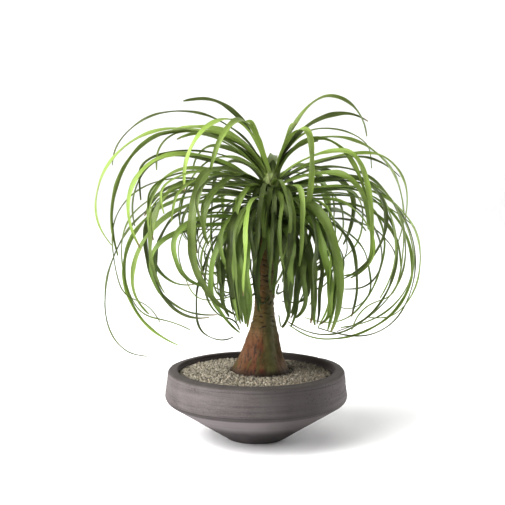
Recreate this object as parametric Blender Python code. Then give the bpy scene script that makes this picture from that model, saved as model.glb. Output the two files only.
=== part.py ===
"""A ponytail palm in a low concrete bowl.

The bowl holds soil and a gravel top dressing. The swollen stem stands in both, and its
crown of strap leaves arches out, hangs and curls. Run with blender --background --python
part.py, or from the text editor. Lengths here are millimetres, turned into metres by MM.
"""

import math

import bmesh
import bpy
import numpy as np

MM = 0.001

# Bowl: 296 mm across at its widest, 114 mm high, standing on a flat foot. The widest radius
# is that of the corner before it is rounded.
POT_STEPS = 48
FOOT_RADIUS = 48.0
WIDEST_RADIUS = 149.2
WIDEST_HEIGHT = 64.6
RIM_OUTER_RADIUS = 143.0
RIM_INNER_RADIUS = 126.4
POT_HEIGHT = 114.2
RIM_DROP = 2.2
FLOOR_THICKNESS = 16.0
INNER_FLOOR_RADIUS = 46.0
INNER_TURN = (131.6, 70.0)
DRAIN_HOLES = 3
DRAIN_RADIUS = 6.0
DRAIN_RING = 27.0
DRAIN_SIDES = 12

# Fill: soil, then gravel up to just under the rim. GAP keeps neighbours apart.
GAP = 0.3
SOIL_TOP = 95.0
GRAVEL_TOP = 104.5
GRAVEL_MOUND = 3.5
GRAVEL_FALL = 2.2
GRAVEL_RINGS = 16
GRAVEL_STEPS = POT_STEPS
PEBBLE_RELIEF = 2.4
PEBBLE_SEED = 11

# Stem: its axis leans to +X as it rises, and it stands behind the bowl's middle.
STEM_Y = 17.0
STEM_LEAN = (
    (60, 6.0), (108, 6.4), (130, 7.2), (170, 11.0), (200, 13.0), (260, 13.5), (325, 16.0), (385, 20.5),
    (455, 27.5),
)
STEM_RADII = (
    (64, 16.0), (70, 31.0), (80, 42.0), (93, 47.0), (104, 48.0), (109, 47.0), (114, 43.6), (121, 39.5),
    (130, 36.0), (142, 31.6), (155, 27.5), (169, 24.2), (182, 20.6), (194, 17.8), (206, 16.2), (220, 15.6),
    (234, 15.3), (250, 15.6), (266, 16.0), (282, 16.3), (300, 16.6), (312, 16.6),
)
STEM_SIDES = 24
STEM_TOP = 324.7
SCAR_PITCH = 10.0
SCAR_RELIEF = 0.55
SCARS_FROM = 176.0
FLUTE_RELIEF = 0.035

# Crown: a core of leaf bases on top of the stem, with every leaf rooted in it.
CORE_RADII = ((325, 16.4), (345, 17.5), (375, 17.5), (400, 16.0), (422, 13.0), (440, 8.5))
CORE_TIP = 452.0
CORE_SIDES = 14
ROOT_DEPTH = 7.0
STEM_CLEARANCE = 4.0
CROWN_X = 24.0
LEAF_SEGMENTS = (6, 14)
LEAF_TURN_PER_SEGMENT = 36.0
STEEPEST_LAUNCH = 74.0
TIP_EASE = 0.85
MOST_UPTURN = 60.0
WIDEST_TURN = 2.9
ROUND_HANDLE = 0.68
KEEL_SHARE = 0.11
KEEL_LEAST = 0.7
TIP_WIDTH = 2.2
ROLLS = (14.0, 46.0)
FACING_SHARE = 0.72
ROOT_ROLL = 0.35
TIP_ROLL = 1.25
LONG_TAPER = 2.6
SHORT_TAPER = 4.0
LONG_LEAF = 400.0
SHORT_LEAF = 200.0
BASE_WIDTHS = ((0.0, 0.07, 0.22), (1.2, 0.78, 1.0))
DRIFTS = (8.0, 16.0)
SWAY = 5.0

# Each leaf: azimuth in degrees from +X towards +Y, height of its root, width, then the places
# (reach from the crown's axis, height) where it crests, where it hangs furthest out, where it
# turns back up if it curls that far, and its tip.
LEFT_LEAVES = (
    (180, 430, 11, (150, 530), (275, 438)),
    (184, 421, 11, (152, 503), (282, 377), (258, 319)),
    (172, 417, 11, (152, 498), (264, 347), (256, 291)),
    (196, 425, 9, (137, 498), (184, 450), (184, 436)),
    (170, 403, 11, (160, 458), (224, 376), (220, 346)),
    (190, 401, 11, (150, 463), (234, 380), (214, 315)),
    (204, 407, 11, (140, 442), (205, 360), (204, 331)),
    (160, 396, 10, (145, 410), (252, 348)),
    (178, 391, 11, (108, 404), (270, 220), (212, 137), (203, 136)),
    (166, 384, 11, (94, 395), (256, 257), (157, 142)),
    (194, 376, 11, (93, 388), (226, 261), (199, 205)),
    (206, 401, 15, (139, 420), (206, 329), (175, 241)),
    (156, 388, 11, (135, 398), (229, 314), (129, 185), (105, 189)),
    (212, 352, 10, (118, 366), (182, 321), (118, 254)),
    (150, 336, 9, (118, 332), (228, 277), (163, 233)),
    (228, 408, 16, (146, 445), (194, 331), (107, 214)),
    (140, 341, 9, (68, 345), (157, 189), (75, 153)),
    (222, 346, 10, (65, 355), (124, 281), (65, 177)),
    (132, 338, 9, (115, 318), (186, 275), (117, 255)),
    (143, 362, 9, (95, 372), (143, 319), (137, 292)),
)
HIGH_LEAVES = (
    (178, 436, 13, (109, 549), (140, 545)),
    (214, 431, 12, (81, 519), (158, 428), (158, 407)),
    (236, 429, 12, (85, 518), (143, 453), (142, 437)),
    (160, 415, 10, (99, 473), (129, 439), (129, 429)),
    (186, 425, 13, (137, 498), (180, 491)),
    (168, 428, 15, (121, 504), (172, 496)),
    (192, 419, 14, (108, 495), (152, 484)),
    (0, 436, 13, (92, 554), (157, 488)),
    (14, 434, 12, (127, 525), (163, 512)),
    (-38, 430, 13, (65, 506), (83, 430), (64, 291)),
    (6, 424, 11, (95, 489), (236, 338), (231, 309)),
    (-12, 420, 15, (82, 488), (163, 306), (129, 261)),
    (18, 411, 10, (145, 455), (223, 420)),
    (10, 416, 9, (160, 462), (222, 390), (216, 353)),
)
RIGHT_LEAVES = (
    (-18, 408, 12, (102, 433), (157, 367), (157, 340)),
    (2, 405, 11, (103, 441), (221, 301), (109, 168)),
    (34, 394, 9, (150, 402), (184, 397)),
    (24, 386, 9, (120, 391), (245, 337)),
    (-24, 388, 13, (98, 392), (172, 314), (121, 268)),
    (30, 360, 10, (120, 365), (191, 325)),
    (40, 346, 9, (130, 348), (262, 266), (250, 218)),
    (-30, 380, 11, (74, 391), (127, 329), (124, 291)),
    (22, 345, 10, (62, 350), (198, 224), (157, 194), (130, 201)),
    (12, 374, 10, (124, 378), (220, 272)),
    (-6, 398, 11, (126, 426), (186, 358), (117, 261)),
    (-4, 392, 9, (118, 411), (249, 276), (190, 186), (164, 189)),
    (8, 398, 10, (113, 424), (240, 281), (120, 172)),
    (-42, 378, 16, (66, 392), (143, 249), (129, 187)),
    (-52, 370, 12, (62, 384), (136, 272), (118, 232)),
    (-48, 362, 13, (56, 374), (129, 239), (98, 194)),
    (48, 352, 9, (73, 352), (153, 306)),
    (44, 341, 10, (75, 340), (157, 270), (158, 239)),
)
FRONT_LEAVES = (
    (-93, 402, 10, (36, 412), (60, 362), (56, 330)),
    (-115, 400, 9, (42, 411), (74, 333), (68, 281)),
    (-127, 402, 10, (62, 408), (92, 350), (92, 328)),
    (-66, 400, 10, (48, 413), (90, 333), (98, 281)),
    (-73, 384, 8, (44, 394), (80, 340), (84, 304)),
    (-88, 394, 9, (38, 406), (68, 345), (52, 296)),
    (-101, 384, 9, (40, 392), (63, 357), (51, 312)),
    (-81, 364, 9, (38, 370), (62, 322), (56, 272)),
    (-52, 350, 9, (52, 356), (88, 290), (46, 205)),
    (-74, 344, 11, (42, 350), (69, 295), (80, 210)),
    (-118, 352, 12, (50, 356), (112, 285), (84, 198)),
    (-80, 342, 8, (36, 344), (51, 299), (80, 240)),
    (-133, 340, 11, (38, 344), (87, 279), (82, 199)),
    (-76, 361, 12, (48, 370), (123, 321), (106, 217)),
    (-60, 403, 9, (79, 416), (104, 340), (97, 291)),
    (-74, 410, 8, (48, 424), (113, 347), (101, 297)),
    (-83, 392, 8, (42, 404), (120, 330), (118, 278)),
    (-99, 404, 8, (60, 418), (124, 374), (181, 310)),
    (-104, 388, 11, (72, 399), (178, 326), (142, 252)),
    (-124, 374, 11, (58, 382), (117, 299), (129, 210)),
    (-116, 382, 10, (62, 390), (140, 321), (131, 219)),
    (-122, 366, 11, (70, 378), (133, 276), (92, 212)),
    (-124, 405, 8, (58, 416), (94, 354), (111, 286)),
)

# Leaves that hang close to the stem and curl back in.
CURLED_LEAVES = (
    (140, 372, 8, (106, 372), (160, 282), (126, 256), (104, 259)),
    (215, 352, 11, (60, 358), (112, 291), (92, 237)),
    (150, 362, 7, (150, 362), (238, 233), (137, 184), (107, 188)),
    (200, 350, 9, (100, 350), (198, 295), (178, 233)),
    (200, 344, 8, (34, 350), (101, 251), (84, 228)),
    (-60, 345, 9, (34, 349), (106, 242), (66, 204)),
    (20, 384, 7, (90, 386), (198, 283), (146, 235), (126, 236)),
    (20, 396, 7, (130, 402), (248, 281), (91, 155), (30, 181)),
    (-50, 356, 12, (44, 362), (98, 250), (96, 194)),
    (-66, 348, 10, (36, 350), (93, 253), (72, 205)),
    (228, 350, 11, (52, 354), (104, 260), (90, 206)),
    (233, 346, 11, (48, 350), (87, 286), (88, 198)),
    (240, 352, 11, (50, 357), (94, 288), (87, 193)),
    (-92, 372, 9, (30, 376), (47, 330), (43, 283)),
    (-84, 380, 9, (34, 386), (56, 332), (50, 292)),
    (-98, 356, 8, (30, 360), (70, 318), (62, 282)),
)

# Leaves that thicken the bundles: beside the stem, low on the right, and at the top of the fan.
BUNDLED_LEAVES = (
    (-72, 348, 12, (34, 352), (101, 299), (84, 209)),
    (-60, 352, 12, (38, 357), (87, 286), (68, 212)),
    (-50, 352, 11, (44, 358), (104, 276), (117, 204)),
    (-46, 366, 12, (58, 378), (129, 278), (97, 190)),
    (-42, 374, 13, (62, 388), (131, 281), (117, 188)),
    (214, 352, 11, (46, 356), (77, 278), (64, 192)),
    (228, 346, 11, (42, 350), (76, 272), (60, 190)),
    (250, 344, 9, (36, 348), (132, 291), (131, 205)),
    (176, 434, 15, (33, 513), (41, 512)),
    (-6, 436, 15, (34, 509), (41, 509)),
    (12, 428, 14, (66, 480), (85, 480)),
    (-22, 416, 11, (122, 469), (170, 353), (162, 292)),
    (-2, 400, 10, (130, 422), (202, 307), (177, 229)),
)

# The leaves that the front ones hide follow a rule: even turns round the crown, older ones lower.
GOLDEN_TURN = 0.381966
BACK_LEAVES = 20
BACK_FAN = (28.0, 152.0)
ROUND_LEAVES = 8
ROUND_FAN = (-44.0, 228.0)
FILL_SEED = 5
FILL_WIDTH = 11.0
OLD_TO_YOUNG = (0.0, 0.5, 1.0)
FILL_ROOT = (344.0, 384.0, 412.0)
FILL_CREST_REACH = (64.0, 108.0, 84.0)
FILL_CREST_RISE = (10.0, 30.0, 34.0)
FILL_HANG_REACH = (54.0, 104.0, 84.0)
FILL_HANG_DROP = (58.0, 98.0, 96.0)
FILL_TIP_IN = (30.0, 38.0, 10.0)
FILL_TIP_DROP = (38.0, 58.0, 44.0)
FILL_SPREAD = 0.42
FILL_LIFT = 12.0


def clear_scene():
    for old in list(bpy.data.objects):
        bpy.data.objects.remove(old)


def principled(name, colour, roughness, metallic=0.0):
    material = bpy.data.materials.new(name)
    material.use_nodes = True
    shader = material.node_tree.nodes["Principled BSDF"]
    shader.inputs["Base Color"].default_value = (*colour, 1.0)
    shader.inputs["Roughness"].default_value = roughness
    shader.inputs["Metallic"].default_value = metallic
    return material


def concrete_material():
    return principled("warm_grey_concrete", (0.19, 0.17, 0.165), 0.86)


def soil_material():
    return principled("potting_soil", (0.05, 0.035, 0.025), 0.95)


def gravel_material():
    return principled("olive_grey_gravel", (0.27, 0.26, 0.22), 0.9)


def stem_material():
    return principled("corky_brown_stem", (0.22, 0.11, 0.045), 0.8)


def leaf_material():
    return principled("green_leaf", (0.13, 0.24, 0.045), 0.45)


def mesh_object(name, points, faces, material, smooth=True):
    """A new object from points in millimetres, with its doubles merged and its faces outwards."""
    mesh = bpy.data.meshes.new(name)
    mesh.from_pydata((np.asarray(points) * MM).tolist(), [], faces)
    shaped = bmesh.new()
    shaped.from_mesh(mesh)
    bmesh.ops.recalc_face_normals(shaped, faces=shaped.faces)
    shaped.to_mesh(mesh)
    shaped.free()
    mesh.materials.append(material)
    if smooth:
        mesh.shade_smooth()
        mesh.set_sharp_from_angle(angle=math.radians(40))
    thing = bpy.data.objects.new(name, mesh)
    bpy.context.scene.collection.objects.link(thing)
    return thing


def apply_modifiers(thing):
    """Turns the object's evaluated mesh into its own mesh."""
    graph = bpy.context.evaluated_depsgraph_get()
    mesh = bpy.data.meshes.new_from_object(thing.evaluated_get(graph))
    thing.modifiers.clear()
    thing.data = mesh


def add_cutter(thing, cutter):
    cutter.hide_render = True
    cutter.display_type = "WIRE"
    cut = thing.modifiers.new("cut_" + cutter.name, "BOOLEAN")
    cut.operation = "DIFFERENCE"
    cut.solver = "EXACT"
    cut.object = cutter


def rounded_outline(corners, degrees_per_step=24.0):
    """A half section from (radius, height, fillet radius) corners, each fillet as an arc."""
    points = [np.array(corners[0][:2], float)]
    for before, corner, after in zip(corners[:-2], corners[1:-1], corners[2:]):
        here = np.array(corner[:2], float)
        to_before = np.array(before[:2]) - here
        to_after = np.array(after[:2]) - here
        to_before /= np.linalg.norm(to_before)
        to_after /= np.linalg.norm(to_after)
        half = 0.5 * math.acos(float(np.clip(to_before @ to_after, -1, 1)))
        set_back = corner[2] / math.tan(half)
        sweep = math.pi - 2 * half
        steps = max(1, round(math.degrees(sweep) / degrees_per_step)) if corner[2] else 0
        if not steps:
            points.append(here)
            continue
        inward = (to_before + to_after) / np.linalg.norm(to_before + to_after)
        middle = here + inward * corner[2] / math.sin(half)
        start = here + to_before * set_back - middle
        finish = here + to_after * set_back - middle
        for share in np.linspace(0, 1, steps + 1):
            arm = (math.sin((1 - share) * sweep) * start + math.sin(share * sweep) * finish) / math.sin(sweep)
            points.append(middle + arm)
    points.append(np.array(corners[-1][:2], float))
    return np.array(points)


def turned(name, outline, material, steps=POT_STEPS):
    """An outline that runs down the outer side, turned about the upright axis."""
    points = [(r * MM, 0.0, z * MM) for r, z in outline]
    mesh = bpy.data.meshes.new(name)
    mesh.from_pydata(points, [(i, i + 1) for i in range(len(points) - 1)], [])
    mesh.materials.append(material)
    thing = bpy.data.objects.new(name, mesh)
    bpy.context.scene.collection.objects.link(thing)
    screw = thing.modifiers.new("turn", "SCREW")
    screw.axis = "Z"
    screw.steps = steps
    screw.render_steps = steps
    screw.use_merge_vertices = True
    screw.merge_threshold = 0.00005
    screw.use_smooth_shade = True
    return thing


def pot_corners():
    """The bowl's half section, from its inner floor over the rim and down to its foot."""
    return (
        (0, FLOOR_THICKNESS, 0),
        (INNER_FLOOR_RADIUS, FLOOR_THICKNESS, 14),
        (*INNER_TURN, 12),
        (RIM_INNER_RADIUS, POT_HEIGHT, 2.4),
        (RIM_OUTER_RADIUS, POT_HEIGHT - RIM_DROP, 5),
        (WIDEST_RADIUS, WIDEST_HEIGHT, 13),
        (FOOT_RADIUS, 0, 2),
        (0, 0, 0),
    )


def inner_wall_radius(height):
    """Radius of the bowl's inner wall above its turn."""
    share = (height - INNER_TURN[1]) / (POT_HEIGHT - INNER_TURN[1])
    return INNER_TURN[0] + (RIM_INNER_RADIUS - INNER_TURN[0]) * share


def build_pot():
    pot = turned("pot", rounded_outline(pot_corners()), concrete_material())
    for number in range(DRAIN_HOLES):
        angle = 2 * math.pi * number / DRAIN_HOLES + math.pi / 2
        bpy.ops.mesh.primitive_cylinder_add(
            vertices=DRAIN_SIDES,
            radius=DRAIN_RADIUS * MM,
            depth=3 * FLOOR_THICKNESS * MM,
            location=(DRAIN_RING * MM * math.cos(angle), DRAIN_RING * MM * math.sin(angle), 0),
        )
        cutter = bpy.context.object
        cutter.name = f"drain_cutter_{number + 1}"
        add_cutter(pot, cutter)
    return pot


def stem_x(height):
    """The stem's axis in X at these heights, a smooth lean."""
    heights, places = np.array(STEM_LEAN).T
    return np.interp(height, heights, places)


def stem_radius(height):
    heights, radii = np.array(STEM_RADII).T
    return np.interp(height, heights, radii)


def ringed_solid(name, rings, material, bottom=None, top=None):
    """A closed body through rings of points, bottom ring first, with a fan at each end."""
    levels, sides = rings.shape[:2]
    if bottom is None:
        bottom = rings[0].mean(axis=0)
    if top is None:
        top = rings[-1].mean(axis=0)
    points = np.concatenate([rings.reshape(-1, 3), [bottom, top]])
    faces = []
    for level in range(levels - 1):
        for side in range(sides):
            a = level * sides + side
            b = level * sides + (side + 1) % sides
            faces.append((a, b, b + sides, a + sides))
    last = (levels - 1) * sides
    for side in range(sides):
        after = (side + 1) % sides
        faces.append((side, levels * sides, after))
        faces.append((last + side, last + after, levels * sides + 1))
    return mesh_object(name, points, faces, material)


def round_rings(heights, radii, sides, relief=None):
    """Rings about the stem's axis. Relief is a function of (angle, height) that scales a radius."""
    angles = np.linspace(0, 2 * np.pi, sides, endpoint=False)
    heights = np.asarray(heights, float)[:, None]
    spread = np.asarray(radii, float)[:, None] * np.ones_like(angles)
    if relief is not None:
        spread = spread * relief(angles, heights)
    x = stem_x(heights) + spread * np.cos(angles)
    y = STEM_Y + spread * np.sin(angles)
    return np.stack([x, y, np.broadcast_to(heights, x.shape)], axis=-1)


def stem_relief(angles, heights):
    """Rings of old leaf scars round the neck, and shallow flutes down the flare above ground."""
    scars = np.where(heights > SCARS_FROM, np.cos(2 * np.pi * heights / SCAR_PITCH), 0)
    above = np.clip((heights - 118) / 20, 0, 1) * np.clip((200 - heights) / 40, 0, 1)
    flutes = np.cos(5 * angles + 0.6) + 0.6 * np.cos(8 * angles + 2.0)
    return 1 + SCAR_RELIEF * scars / 16 + FLUTE_RELIEF * above * flutes


def stem_heights():
    below_scars = [height for height, _ in STEM_RADII if height < SCARS_FROM]
    scars = np.arange(SCARS_FROM + SCAR_PITCH / 2, STEM_TOP - SCAR_PITCH / 4, SCAR_PITCH / 2)
    return np.array([*below_scars, *scars, STEM_TOP])


def build_stem():
    heights = stem_heights()
    rings = round_rings(heights, stem_radius(heights), STEM_SIDES, stem_relief)
    return ringed_solid("trunk", rings, stem_material())


def stem_cutter(name):
    """The stem's buried form, grown by the gap, for the plain hole that it stands in."""
    heights = np.array([height for height, _ in STEM_RADII if height < 122])
    radii = stem_radius(heights) + GAP * 1.4
    heights[0] -= GAP * 1.4
    rings = round_rings(heights, radii, STEM_SIDES)
    return ringed_solid(name, rings, soil_material())


def build_soil():
    corners = (
        (0, SOIL_TOP, 0),
        (inner_wall_radius(SOIL_TOP) - GAP, SOIL_TOP, 0),
        (INNER_TURN[0] - GAP, INNER_TURN[1] + 0.1, 12),
        (INNER_FLOOR_RADIUS - 0.1, FLOOR_THICKNESS + GAP, 14),
        (0, FLOOR_THICKNESS + GAP, 0),
    )
    soil = turned("soil", rounded_outline(corners), soil_material())
    add_cutter(soil, stem_cutter("soil_cutter"))
    return soil


def gravel_surface(radius, angle):
    """Height of the gravel: a low mound that falls to +X, with the pebbles as seeded relief."""
    random = np.random.default_rng(PEBBLE_SEED)
    share = radius / inner_wall_radius(GRAVEL_TOP)
    mound = GRAVEL_MOUND * (1 - share**2)
    fall = GRAVEL_FALL * share * np.cos(angle)
    pebbles = PEBBLE_RELIEF * random.uniform(-1, 1, share.shape)
    return GRAVEL_TOP + mound - fall + pebbles


def build_gravel():
    bottom = SOIL_TOP + GAP
    angles = np.linspace(0, 2 * np.pi, GRAVEL_STEPS, endpoint=False)
    shares = np.linspace(0.12, 1, GRAVEL_RINGS)[::-1]
    rim = inner_wall_radius(GRAVEL_TOP + GRAVEL_FALL + PEBBLE_RELIEF) - GAP
    foot = inner_wall_radius(bottom) - GAP
    radius, angle = np.meshgrid(rim * shares, angles, indexing="ij")
    top = np.stack([radius * np.cos(angle), radius * np.sin(angle), gravel_surface(radius, angle)], axis=-1)
    base = np.stack([foot * np.cos(angles), foot * np.sin(angles), np.full_like(angles, bottom)], axis=-1)
    gravel = ringed_solid("gravel", np.concatenate([base[None], top]), gravel_material())
    add_cutter(gravel, stem_cutter("gravel_cutter"))
    return gravel


def direction(slope):
    return np.array([math.cos(math.radians(slope)), math.sin(math.radians(slope))])


def crossing(first, second):
    return float(first[0] * second[1] - first[1] * second[0])


def span(start, start_slope, end, end_slope, steps=20):
    """A cubic between two places with a slope in degrees at each, a quarter ellipse where it can be."""
    leave, arrive = direction(start_slope), direction(end_slope)
    chord = end - start
    turn = math.radians(abs(end_slope - start_slope))
    cross = crossing(leave, arrive)
    out = in_ = 0.5 * float(np.linalg.norm(chord))
    handle = ROUND_HANDLE
    if abs(cross) > 0.05 and turn < WIDEST_TURN:
        meets = crossing(chord, arrive) / cross, crossing(leave, chord) / cross
        if min(meets) > 0:
            out, in_ = meets
            handle = 4 / 3 * math.tan(turn / 4) / math.tan(turn / 2)
    t = np.linspace(0, 1, steps)[:, None]
    first = start + handle * out * leave
    second = end - handle * in_ * arrive
    return (1 - t) ** 3 * start + 3 * (1 - t) ** 2 * t * first + 3 * (1 - t) * t**2 * second + t**3 * end


def even_steps(line, count):
    """The line's points again, at even lengths along it."""
    lengths = np.concatenate([[0], np.cumsum(np.linalg.norm(np.diff(line, axis=0), axis=1))])
    wanted = np.linspace(0, lengths[-1], count)
    return np.stack([np.interp(wanted, lengths, line[:, axis]) for axis in range(2)], axis=-1)


def leaf_slopes(places):
    """The slope at each place: level at the crest, straight down at its reach, level again below."""
    slopes = [0.0, -90.0, -180.0, -270.0][: len(places) - 2]
    rise = places[1] - places[0]
    launch = min(2 * math.degrees(math.atan2(rise[1], rise[0])) - slopes[0], STEEPEST_LAUNCH)
    fall = places[-1] - places[-2]
    chord = math.degrees(math.atan2(fall[1], fall[0]))
    while chord > slopes[-1] + MOST_UPTURN:
        chord -= 360
    finish = slopes[-1] + (chord - slopes[-1]) * (1 + TIP_EASE)
    return [launch, *slopes, finish]


def leaf_profile(root, places, count=64):
    """A leaf's line in its own upright plane, as (reach, height), smoothed to an even bend."""
    places = [np.array([ROOT_DEPTH, root]), *(np.array(place, float) for place in places)]
    slopes = leaf_slopes(places)
    pieces = [
        span(places[i], slopes[i], places[i + 1], slopes[i + 1])[(1 if i else 0):]
        for i in range(len(places) - 1)
    ]
    line = np.concatenate(pieces)
    for _ in range(3):
        line = even_steps(line, count)
        line[1:-1] = (line[:-2] + 2 * line[1:-1] + line[2:]) / 4
    return line


def turning(line):
    """Total turn of a line in degrees."""
    steps = np.diff(line, axis=0)
    angles = np.unwrap(np.arctan2(steps[:, 1], steps[:, 0]))
    return math.degrees(np.abs(np.diff(angles)).sum())


def leaf_drift(number, azimuth):
    """How many degrees a leaf swings aside by its tip: more at the sides than at the front."""
    least, most = DRIFTS
    swing = least + (most - least) * math.cos(math.radians(azimuth)) ** 2
    return swing * (2 * (number * math.sqrt(3) % 1) - 1)


def leaf_sway(number):
    """How many degrees a leaf bows aside on its way, to one side and then to the other."""
    return SWAY * (2 * (number * math.sqrt(7) % 1) - 1)


def leaf_line(number, azimuth, root, places):
    """A leaf's centre line in space, kept clear of the stem below the crown."""
    profile = leaf_profile(root, places)
    segments = int(np.clip(round(turning(profile) / LEAF_TURN_PER_SEGMENT) + 2, *LEAF_SEGMENTS))
    profile = even_steps(profile, segments + 1)
    share = np.linspace(0, 1, segments + 1)
    aside = leaf_drift(number, azimuth) * share**2 + leaf_sway(number) * np.sin(2 * np.pi * share)
    angle = np.radians(azimuth + aside)
    lean = (stem_x(root) - CROWN_X) * np.clip(1 - share / 0.3, 0, 1) ** 2
    x = CROWN_X + profile[:, 0] * np.cos(angle) + lean
    y = STEM_Y + profile[:, 0] * np.sin(angle)
    z = profile[:, 1]
    away = np.hypot(x - stem_x(z), y - STEM_Y)
    least = np.where(z < CORE_RADII[0][0] + 8, stem_radius(z) + STEM_CLEARANCE + 8, 0)
    push = np.maximum(least / np.maximum(away, 1e-3), 1)
    x = stem_x(z) + (x - stem_x(z)) * push
    y = STEM_Y + (y - STEM_Y) * push
    return np.stack([x, y, z], axis=-1)


def leaf_roll(number, azimuth):
    """How far a leaf is rolled about its length, mostly to turn its upper face to the front."""
    least, most = ROLLS
    size = least + (most - least) * (number * GOLDEN_TURN % 1)
    facing = 1 if number * math.sqrt(2) % 1 < FACING_SHARE else -1
    return math.radians(size) * facing * math.copysign(1, math.cos(math.radians(azimuth)))


def leaf_widths(share, width, length):
    """Narrow where it leaves the core, full by a quarter of the way, then a taper to a thread."""
    power = np.interp(length, [SHORT_LEAF, LONG_LEAF], [SHORT_TAPER, LONG_TAPER])
    grow = np.interp(share, *BASE_WIDTHS)
    taper = (1 - share**power) ** 0.8
    return (width - TIP_WIDTH) * grow * taper + TIP_WIDTH


def leaf_rings(line, azimuth, width, roll):
    """Three corners at each step: two edges, and the keel that runs under the blade."""
    share = np.linspace(0, 1, len(line))
    length = np.linalg.norm(np.diff(line, axis=0), axis=1).sum()
    ahead = np.gradient(line, axis=0)
    ahead /= np.linalg.norm(ahead, axis=1)[:, None]
    angle = math.radians(azimuth)
    side = np.array([-math.sin(angle), math.cos(angle), 0])
    side = side - (ahead @ side)[:, None] * ahead
    side /= np.linalg.norm(side, axis=1)[:, None]
    up = np.cross(ahead, side)
    turn = (roll * (ROOT_ROLL + (TIP_ROLL - ROOT_ROLL) * share))[:, None]
    across = np.cos(turn) * side + np.sin(turn) * up
    under = np.sin(turn) * side - np.cos(turn) * up
    wide = leaf_widths(share, width, length)[:, None]
    keel = KEEL_SHARE * wide + KEEL_LEAST
    return np.stack([line + across * wide / 2, line - across * wide / 2, line + under * keel], axis=1)


def leaf_object(number, leaf, material):
    azimuth, root, width, *places = leaf
    line = leaf_line(number, azimuth, root, places)
    rings = leaf_rings(line, azimuth, width, leaf_roll(number, azimuth))
    sides = rings.shape[1]
    points = rings[:-1].reshape(-1, 3)
    tip = len(points)
    points = np.concatenate([points, line[-1:]])
    faces = [tuple(range(sides))]
    for level in range(len(rings) - 2):
        for side in range(sides):
            a = level * sides + side
            b = level * sides + (side + 1) % sides
            faces.append((a, b, b + sides))
            faces.append((a, b + sides, a + sides))
    last = tip - sides
    faces.extend((last + side, last + (side + 1) % sides, tip) for side in range(sides))
    return mesh_object(f"leaf_{number + 1:03d}", points, faces, material, smooth=False)


def fill_leaf(number, count, azimuth, random):
    """A leaf by rule: the share of the way from old to young sets how it rises, hangs and curls."""
    share = (number + 0.5) / count
    size = 1 + FILL_SPREAD * random.uniform(-1, 1, 6)
    lift = FILL_LIFT * random.uniform(-1, 1)

    def between(values):
        return float(np.interp(share, OLD_TO_YOUNG, values))

    root = between(FILL_ROOT) + lift
    crest = (between(FILL_CREST_REACH) * size[0], root + between(FILL_CREST_RISE) * size[1])
    hang = (crest[0] + between(FILL_HANG_REACH) * size[2], crest[1] - between(FILL_HANG_DROP) * size[3])
    tip = (hang[0] - between(FILL_TIP_IN) * size[4], hang[1] - between(FILL_TIP_DROP) * size[5])
    return (azimuth, root, FILL_WIDTH + 2 * random.uniform(-1, 1), crest, hang, tip)


def fill_leaves():
    random = np.random.default_rng(FILL_SEED)
    leaves = []
    for number in range(BACK_LEAVES):
        turn = (number * GOLDEN_TURN) % 1
        azimuth = BACK_FAN[0] + (BACK_FAN[1] - BACK_FAN[0]) * turn
        leaves.append(fill_leaf(number, BACK_LEAVES, azimuth, random))
    for number in range(ROUND_LEAVES):
        turn = (number * GOLDEN_TURN + 0.08) % 1
        azimuth = ROUND_FAN[0] + (ROUND_FAN[1] - ROUND_FAN[0]) * turn
        leaves.append(fill_leaf(number, ROUND_LEAVES, azimuth, random))
    return leaves


def all_leaves():
    placed = [*LEFT_LEAVES, *HIGH_LEAVES, *RIGHT_LEAVES, *FRONT_LEAVES, *CURLED_LEAVES, *BUNDLED_LEAVES]
    return [*placed, *fill_leaves()]


def drop_scraps(mesh):
    """Keeps only the largest shell, which drops loose scraps and fills sealed hollows."""
    shaped = bmesh.new()
    shaped.from_mesh(mesh)
    left = set(shaped.verts)
    shells = []
    while left:
        shell = set()
        edge = [left.pop()]
        while edge:
            vert = edge.pop()
            shell.add(vert)
            for link in vert.link_edges:
                other = link.other_vert(vert)
                if other in left:
                    left.remove(other)
                    edge.append(other)
        shells.append(shell)
    shells.sort(key=len)
    for shell in shells[:-1]:
        bmesh.ops.delete(shaped, geom=list(shell), context="VERTS")
    shaped.to_mesh(mesh)
    shaped.free()
    return len(shells)


def build_leaf_crown():
    material = leaf_material()
    heights, radii = np.array(CORE_RADII).T
    rings = round_rings(heights, radii, CORE_SIDES)
    top = np.array([stem_x(CORE_TIP), STEM_Y, CORE_TIP])
    crown = ringed_solid("leaf_crown", rings, material, top=top)
    leaves = bpy.data.collections.new("leaves_to_join")
    bpy.context.scene.collection.children.link(leaves)
    for number, leaf in enumerate(all_leaves()):
        blade = leaf_object(number, leaf, material)
        bpy.context.scene.collection.objects.unlink(blade)
        leaves.objects.link(blade)
    join = crown.modifiers.new("join_leaves", "BOOLEAN")
    join.operation = "UNION"
    join.operand_type = "COLLECTION"
    join.collection = leaves
    join.solver = "MANIFOLD"
    apply_modifiers(crown)
    for blade in list(leaves.objects):
        bpy.data.objects.remove(blade)
    bpy.data.collections.remove(leaves)
    drop_scraps(crown.data)
    return crown


def main():
    clear_scene()
    build_pot()
    build_soil()
    build_gravel()
    build_stem()
    build_leaf_crown()


main()
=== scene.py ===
"""A ponytail palm in a low concrete bowl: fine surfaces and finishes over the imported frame.

Every piece is a surface worked out with numpy as points on a grid. Lengths in the shape
functions are millimetres, turned into metres by MM where a mesh is made. Finishes are in metres.
"""

import math

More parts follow.
